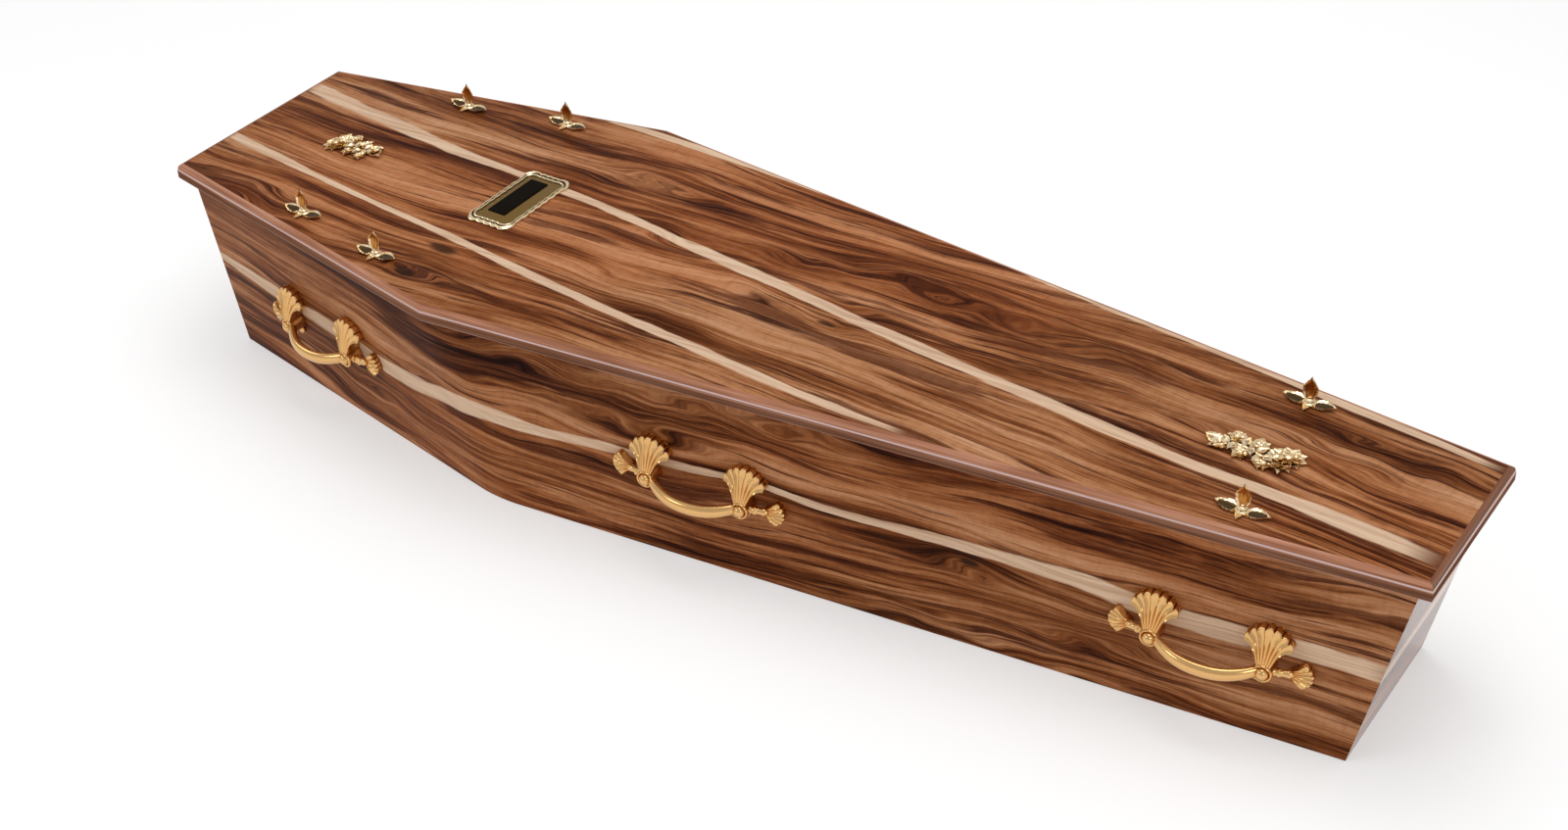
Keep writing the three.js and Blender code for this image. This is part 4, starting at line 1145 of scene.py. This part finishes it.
LEAVES, LEAF_FIRST, LEAF_SPAN = 8, 0.1, 0.76
LEAF_TURN, LEAF_TURN_LOSS = 2.8, 2.05
LEAF_LENGTHS, LEAF_WIDTHS = (29, 32), (17, 20)
LEAF = dict(start=0, lift=1.6, rim=3.0, thick=1.0, columns=20, rows=10, notch=0.24, inner=1)
SMALL_LEAF = dict(
    length=17, width=11, start=0, lift=2.0, rim=2.0, thick=1.0, columns=12, rows=8,
    notch=0.1, inner=1,
)
SMALL_LEAF_AT, SMALL_LEAF_TURN = Vector((3, 0, 2.2)), 0.75
END_LEAF = dict(
    length=34, width=19, start=0, lift=1.6, rim=2.4, thick=1.0, columns=20, rows=10,
    notch=0.20, inner=1,
)
END_LEAF_SHARE, END_LEAF_TURN, END_LEAF_SPREAD = 0.9, 1.35, 0.6

BLOSSOMS, BLOSSOM_FIRST, BLOSSOM_STEP, BLOSSOM_SIDE = 4, 0.2, 0.18, 15
BLOSSOM = dict(radius=13.5, height=6.6, petals=6, layers=1)
ROSE = dict(radius=23, height=7.2, petals=9, layers=3)
ROSE_SHIFT = Vector((-2, -5, 0))
LAYER_LOSS, LAYER_LIFT = 0.36, 0.26
HEART_SIDES = 14


def spray_stem(t):
    """A point on the stem's wavy line, from its foot at 0 to the rose at 1."""
    sideways = STEM_BEND * math.sin(2 * math.pi * t) + STEM_CLIMB * t - STEM_DROP
    return Vector((STEM_HALF * (2 * t - 1), sideways, 0))


def stem():
    rings = []
    for k in range(STEM_STEPS + 1):
        p = spray_stem(k / STEM_STEPS)
        ring = []
        for c, s in circle(STEM_SIDES):
            height = max(UNDERSIDE, STEM_HALF_HIGH + STEM_HALF_HIGH * s)
            ring.append((p.x, p.y + STEM_HALF_WIDE * c, height))
        rings.append(ring[::-1])
    return loft(rings)


def blossom(radius, height, petals, layers):
    """Layers of hollow petals, each smaller than the one below it, round a heart."""
    form = Form()
    for layer in range(layers):
        size = radius * (1 - LAYER_LOSS * layer)
        petal = hollow_leaf(
            length=size * 0.88, width=size * 0.84, start=radius * 0.10, lift=height * 0.25,
            rim=1.6, thick=1.0, columns=10, rows=8, inner=1,
        )
        lift = moved(0, 0, height * LAYER_LIFT * layer)
        for k in range(petals):
            form.join(petal, lift @ turned_by(2 * math.pi * (k + 0.5 * layer) / petals))
    heart = [
        (radius * 0.26, UNDERSIDE), (radius * 0.27, height * 0.75),
        (radius * 0.16, height * 0.98), (0.3, height),
    ]
    return form.join(lathe(heart, HEART_SIDES))


def spray():
    """A stem with leaves to both sides, small leaves over them, blossoms and a rose."""
    rng = random.Random(SPRAY_SEED)
    form = stem()
    for k in range(LEAVES):
        share = k / (LEAVES - 1)
        foot = spray_stem(LEAF_FIRST + LEAF_SPAN * share)
        side = 1 if k % 2 == 0 else -1
        turn = side * (LEAF_TURN - LEAF_TURN_LOSS * share)
        length, width = rng.uniform(*LEAF_LENGTHS), rng.uniform(*LEAF_WIDTHS)
        form.join(hollow_leaf(length, width, **LEAF), moved(*foot) @ turned_by(turn))
        small_turn = turned_by(turn - side * SMALL_LEAF_TURN)
        form.join(hollow_leaf(**SMALL_LEAF), moved(*(foot + SMALL_LEAF_AT)) @ small_turn)
    for k in range(2):
        turn = turned_by(-END_LEAF_TURN - END_LEAF_SPREAD * k)
        form.join(hollow_leaf(**END_LEAF), moved(*spray_stem(END_LEAF_SHARE)) @ turn)
    for k in range(BLOSSOMS):
        foot = spray_stem(BLOSSOM_FIRST + BLOSSOM_STEP * k)
        side = 1 if k % 2 == 0 else -1
        form.join(blossom(**BLOSSOM), moved(foot.x, foot.y + side * BLOSSOM_SIDE) @ turned_by(k))
    form.join(blossom(**ROSE), moved(*(spray_stem(1) + ROSE_SHIFT)))
    return form.scaled(MM)


# Each spray's node, its turn, its length as a share of the foot one's, and its place.
SPRAYS = [
    ("spray_foot", 0.0, 1.0, (0.700, -0.002, LID_TOP)),
    ("spray_head", math.pi, 0.78, (-0.774, -0.007, LID_TOP)),
]
for name, turn, shorter, spot in SPRAYS:
    matrix = moved(*spot) @ turned_by(turn) @ Matrix.Diagonal((shorter, 1, 1, 1))
    form = Form().join(spray(), matrix)
    dress(make(name + "_cast", form, [gold_pale, gold_mid], sharp=50), "gold", name)


# Floor, light and camera
FLOOR_HALF = 30
FLOOR_TONE = (0.62, 0.62, 0.62, 1)
FLOOR_GLOW = 0.42
WORLD_GLOW = 0.62

floor_graph = Graph("pale_floor")
floor_graph.finish(
    FLOOR_TONE, Emission_Color=(1, 1, 1, 1), Emission_Strength=FLOOR_GLOW,
    Specular_IOR_Level=0.1, Roughness=0.7,
)
floor_mesh = bpy.data.meshes.new("floor")
corners = [(-FLOOR_HALF, -FLOOR_HALF, 0), (FLOOR_HALF, -FLOOR_HALF, 0)]
corners += [(FLOOR_HALF, FLOOR_HALF, 0), (-FLOOR_HALF, FLOOR_HALF, 0)]
floor_mesh.from_pydata(corners, [], [(0, 1, 2, 3)])
floor_mesh.materials.append(floor_graph.material)
floor = bpy.data.objects.new("floor", floor_mesh)
bpy.context.scene.collection.objects.link(floor)

world = bpy.data.worlds.new("studio")
bpy.context.scene.world = world
world.use_nodes = True
world.node_tree.nodes["Background"].inputs[0].default_value = (1.0, 1.0, 1.0, 1)
world.node_tree.nodes["Background"].inputs[1].default_value = WORLD_GLOW
bpy.context.scene.view_settings.view_transform = "Standard"


def softbox(name, spot, aim, width, height, power):
    light = bpy.data.lights.new(name, "AREA")
    light.shape = "RECTANGLE"
    light.size, light.size_y, light.energy = width, height, power
    obj = bpy.data.objects.new(name, light)
    obj.location = spot
    obj.rotation_mode = "QUATERNION"
    obj.rotation_quaternion = (Vector(aim) - Vector(spot)).to_track_quat("-Z", "Y")
    bpy.context.scene.collection.objects.link(obj)


# Place, aim, width, height and watts of each.
softbox("overhead", (0.2, 0.3, 3.4), (0, 0, 0.2), 3.0, 1.8, 50)
softbox("front_left", (-1.6, -3.0, 2.0), (0, 0, 0.15), 0.9, 0.7, 9)
softbox("front_right", (3.0, -1.8, 1.6), (0.4, 0, 0.15), 0.7, 0.7, 8)
softbox("head_side", (-3.2, -0.8, 1.9), (-0.5, 0, 0.25), 0.9, 0.7, 5)

# The camera as fitted to the photo.
CAMERA_AT = Vector((1.55772, -2.17976, 2.03964))
CAMERA_RIGHT = Vector((0.827801, 0.559803, -0.03696))
CAMERA_UP = Vector((-0.303007, 0.501567, 0.810319))
camera_data = bpy.data.cameras.new("camera")
camera_data.sensor_fit = "HORIZONTAL"
camera_data.sensor_width = 36.0
camera_data.lens = 53.698
camera_data.clip_start, camera_data.clip_end = 0.05, 100.0
camera = bpy.data.objects.new("camera", camera_data)
axes = (CAMERA_RIGHT, CAMERA_UP, CAMERA_RIGHT.cross(CAMERA_UP))
pose = Matrix(axes).transposed().to_4x4()
pose.translation = CAMERA_AT
camera.matrix_world = pose
bpy.context.scene.collection.objects.link(camera)
bpy.context.scene.camera = camera

bpy.context.view_layer.update()
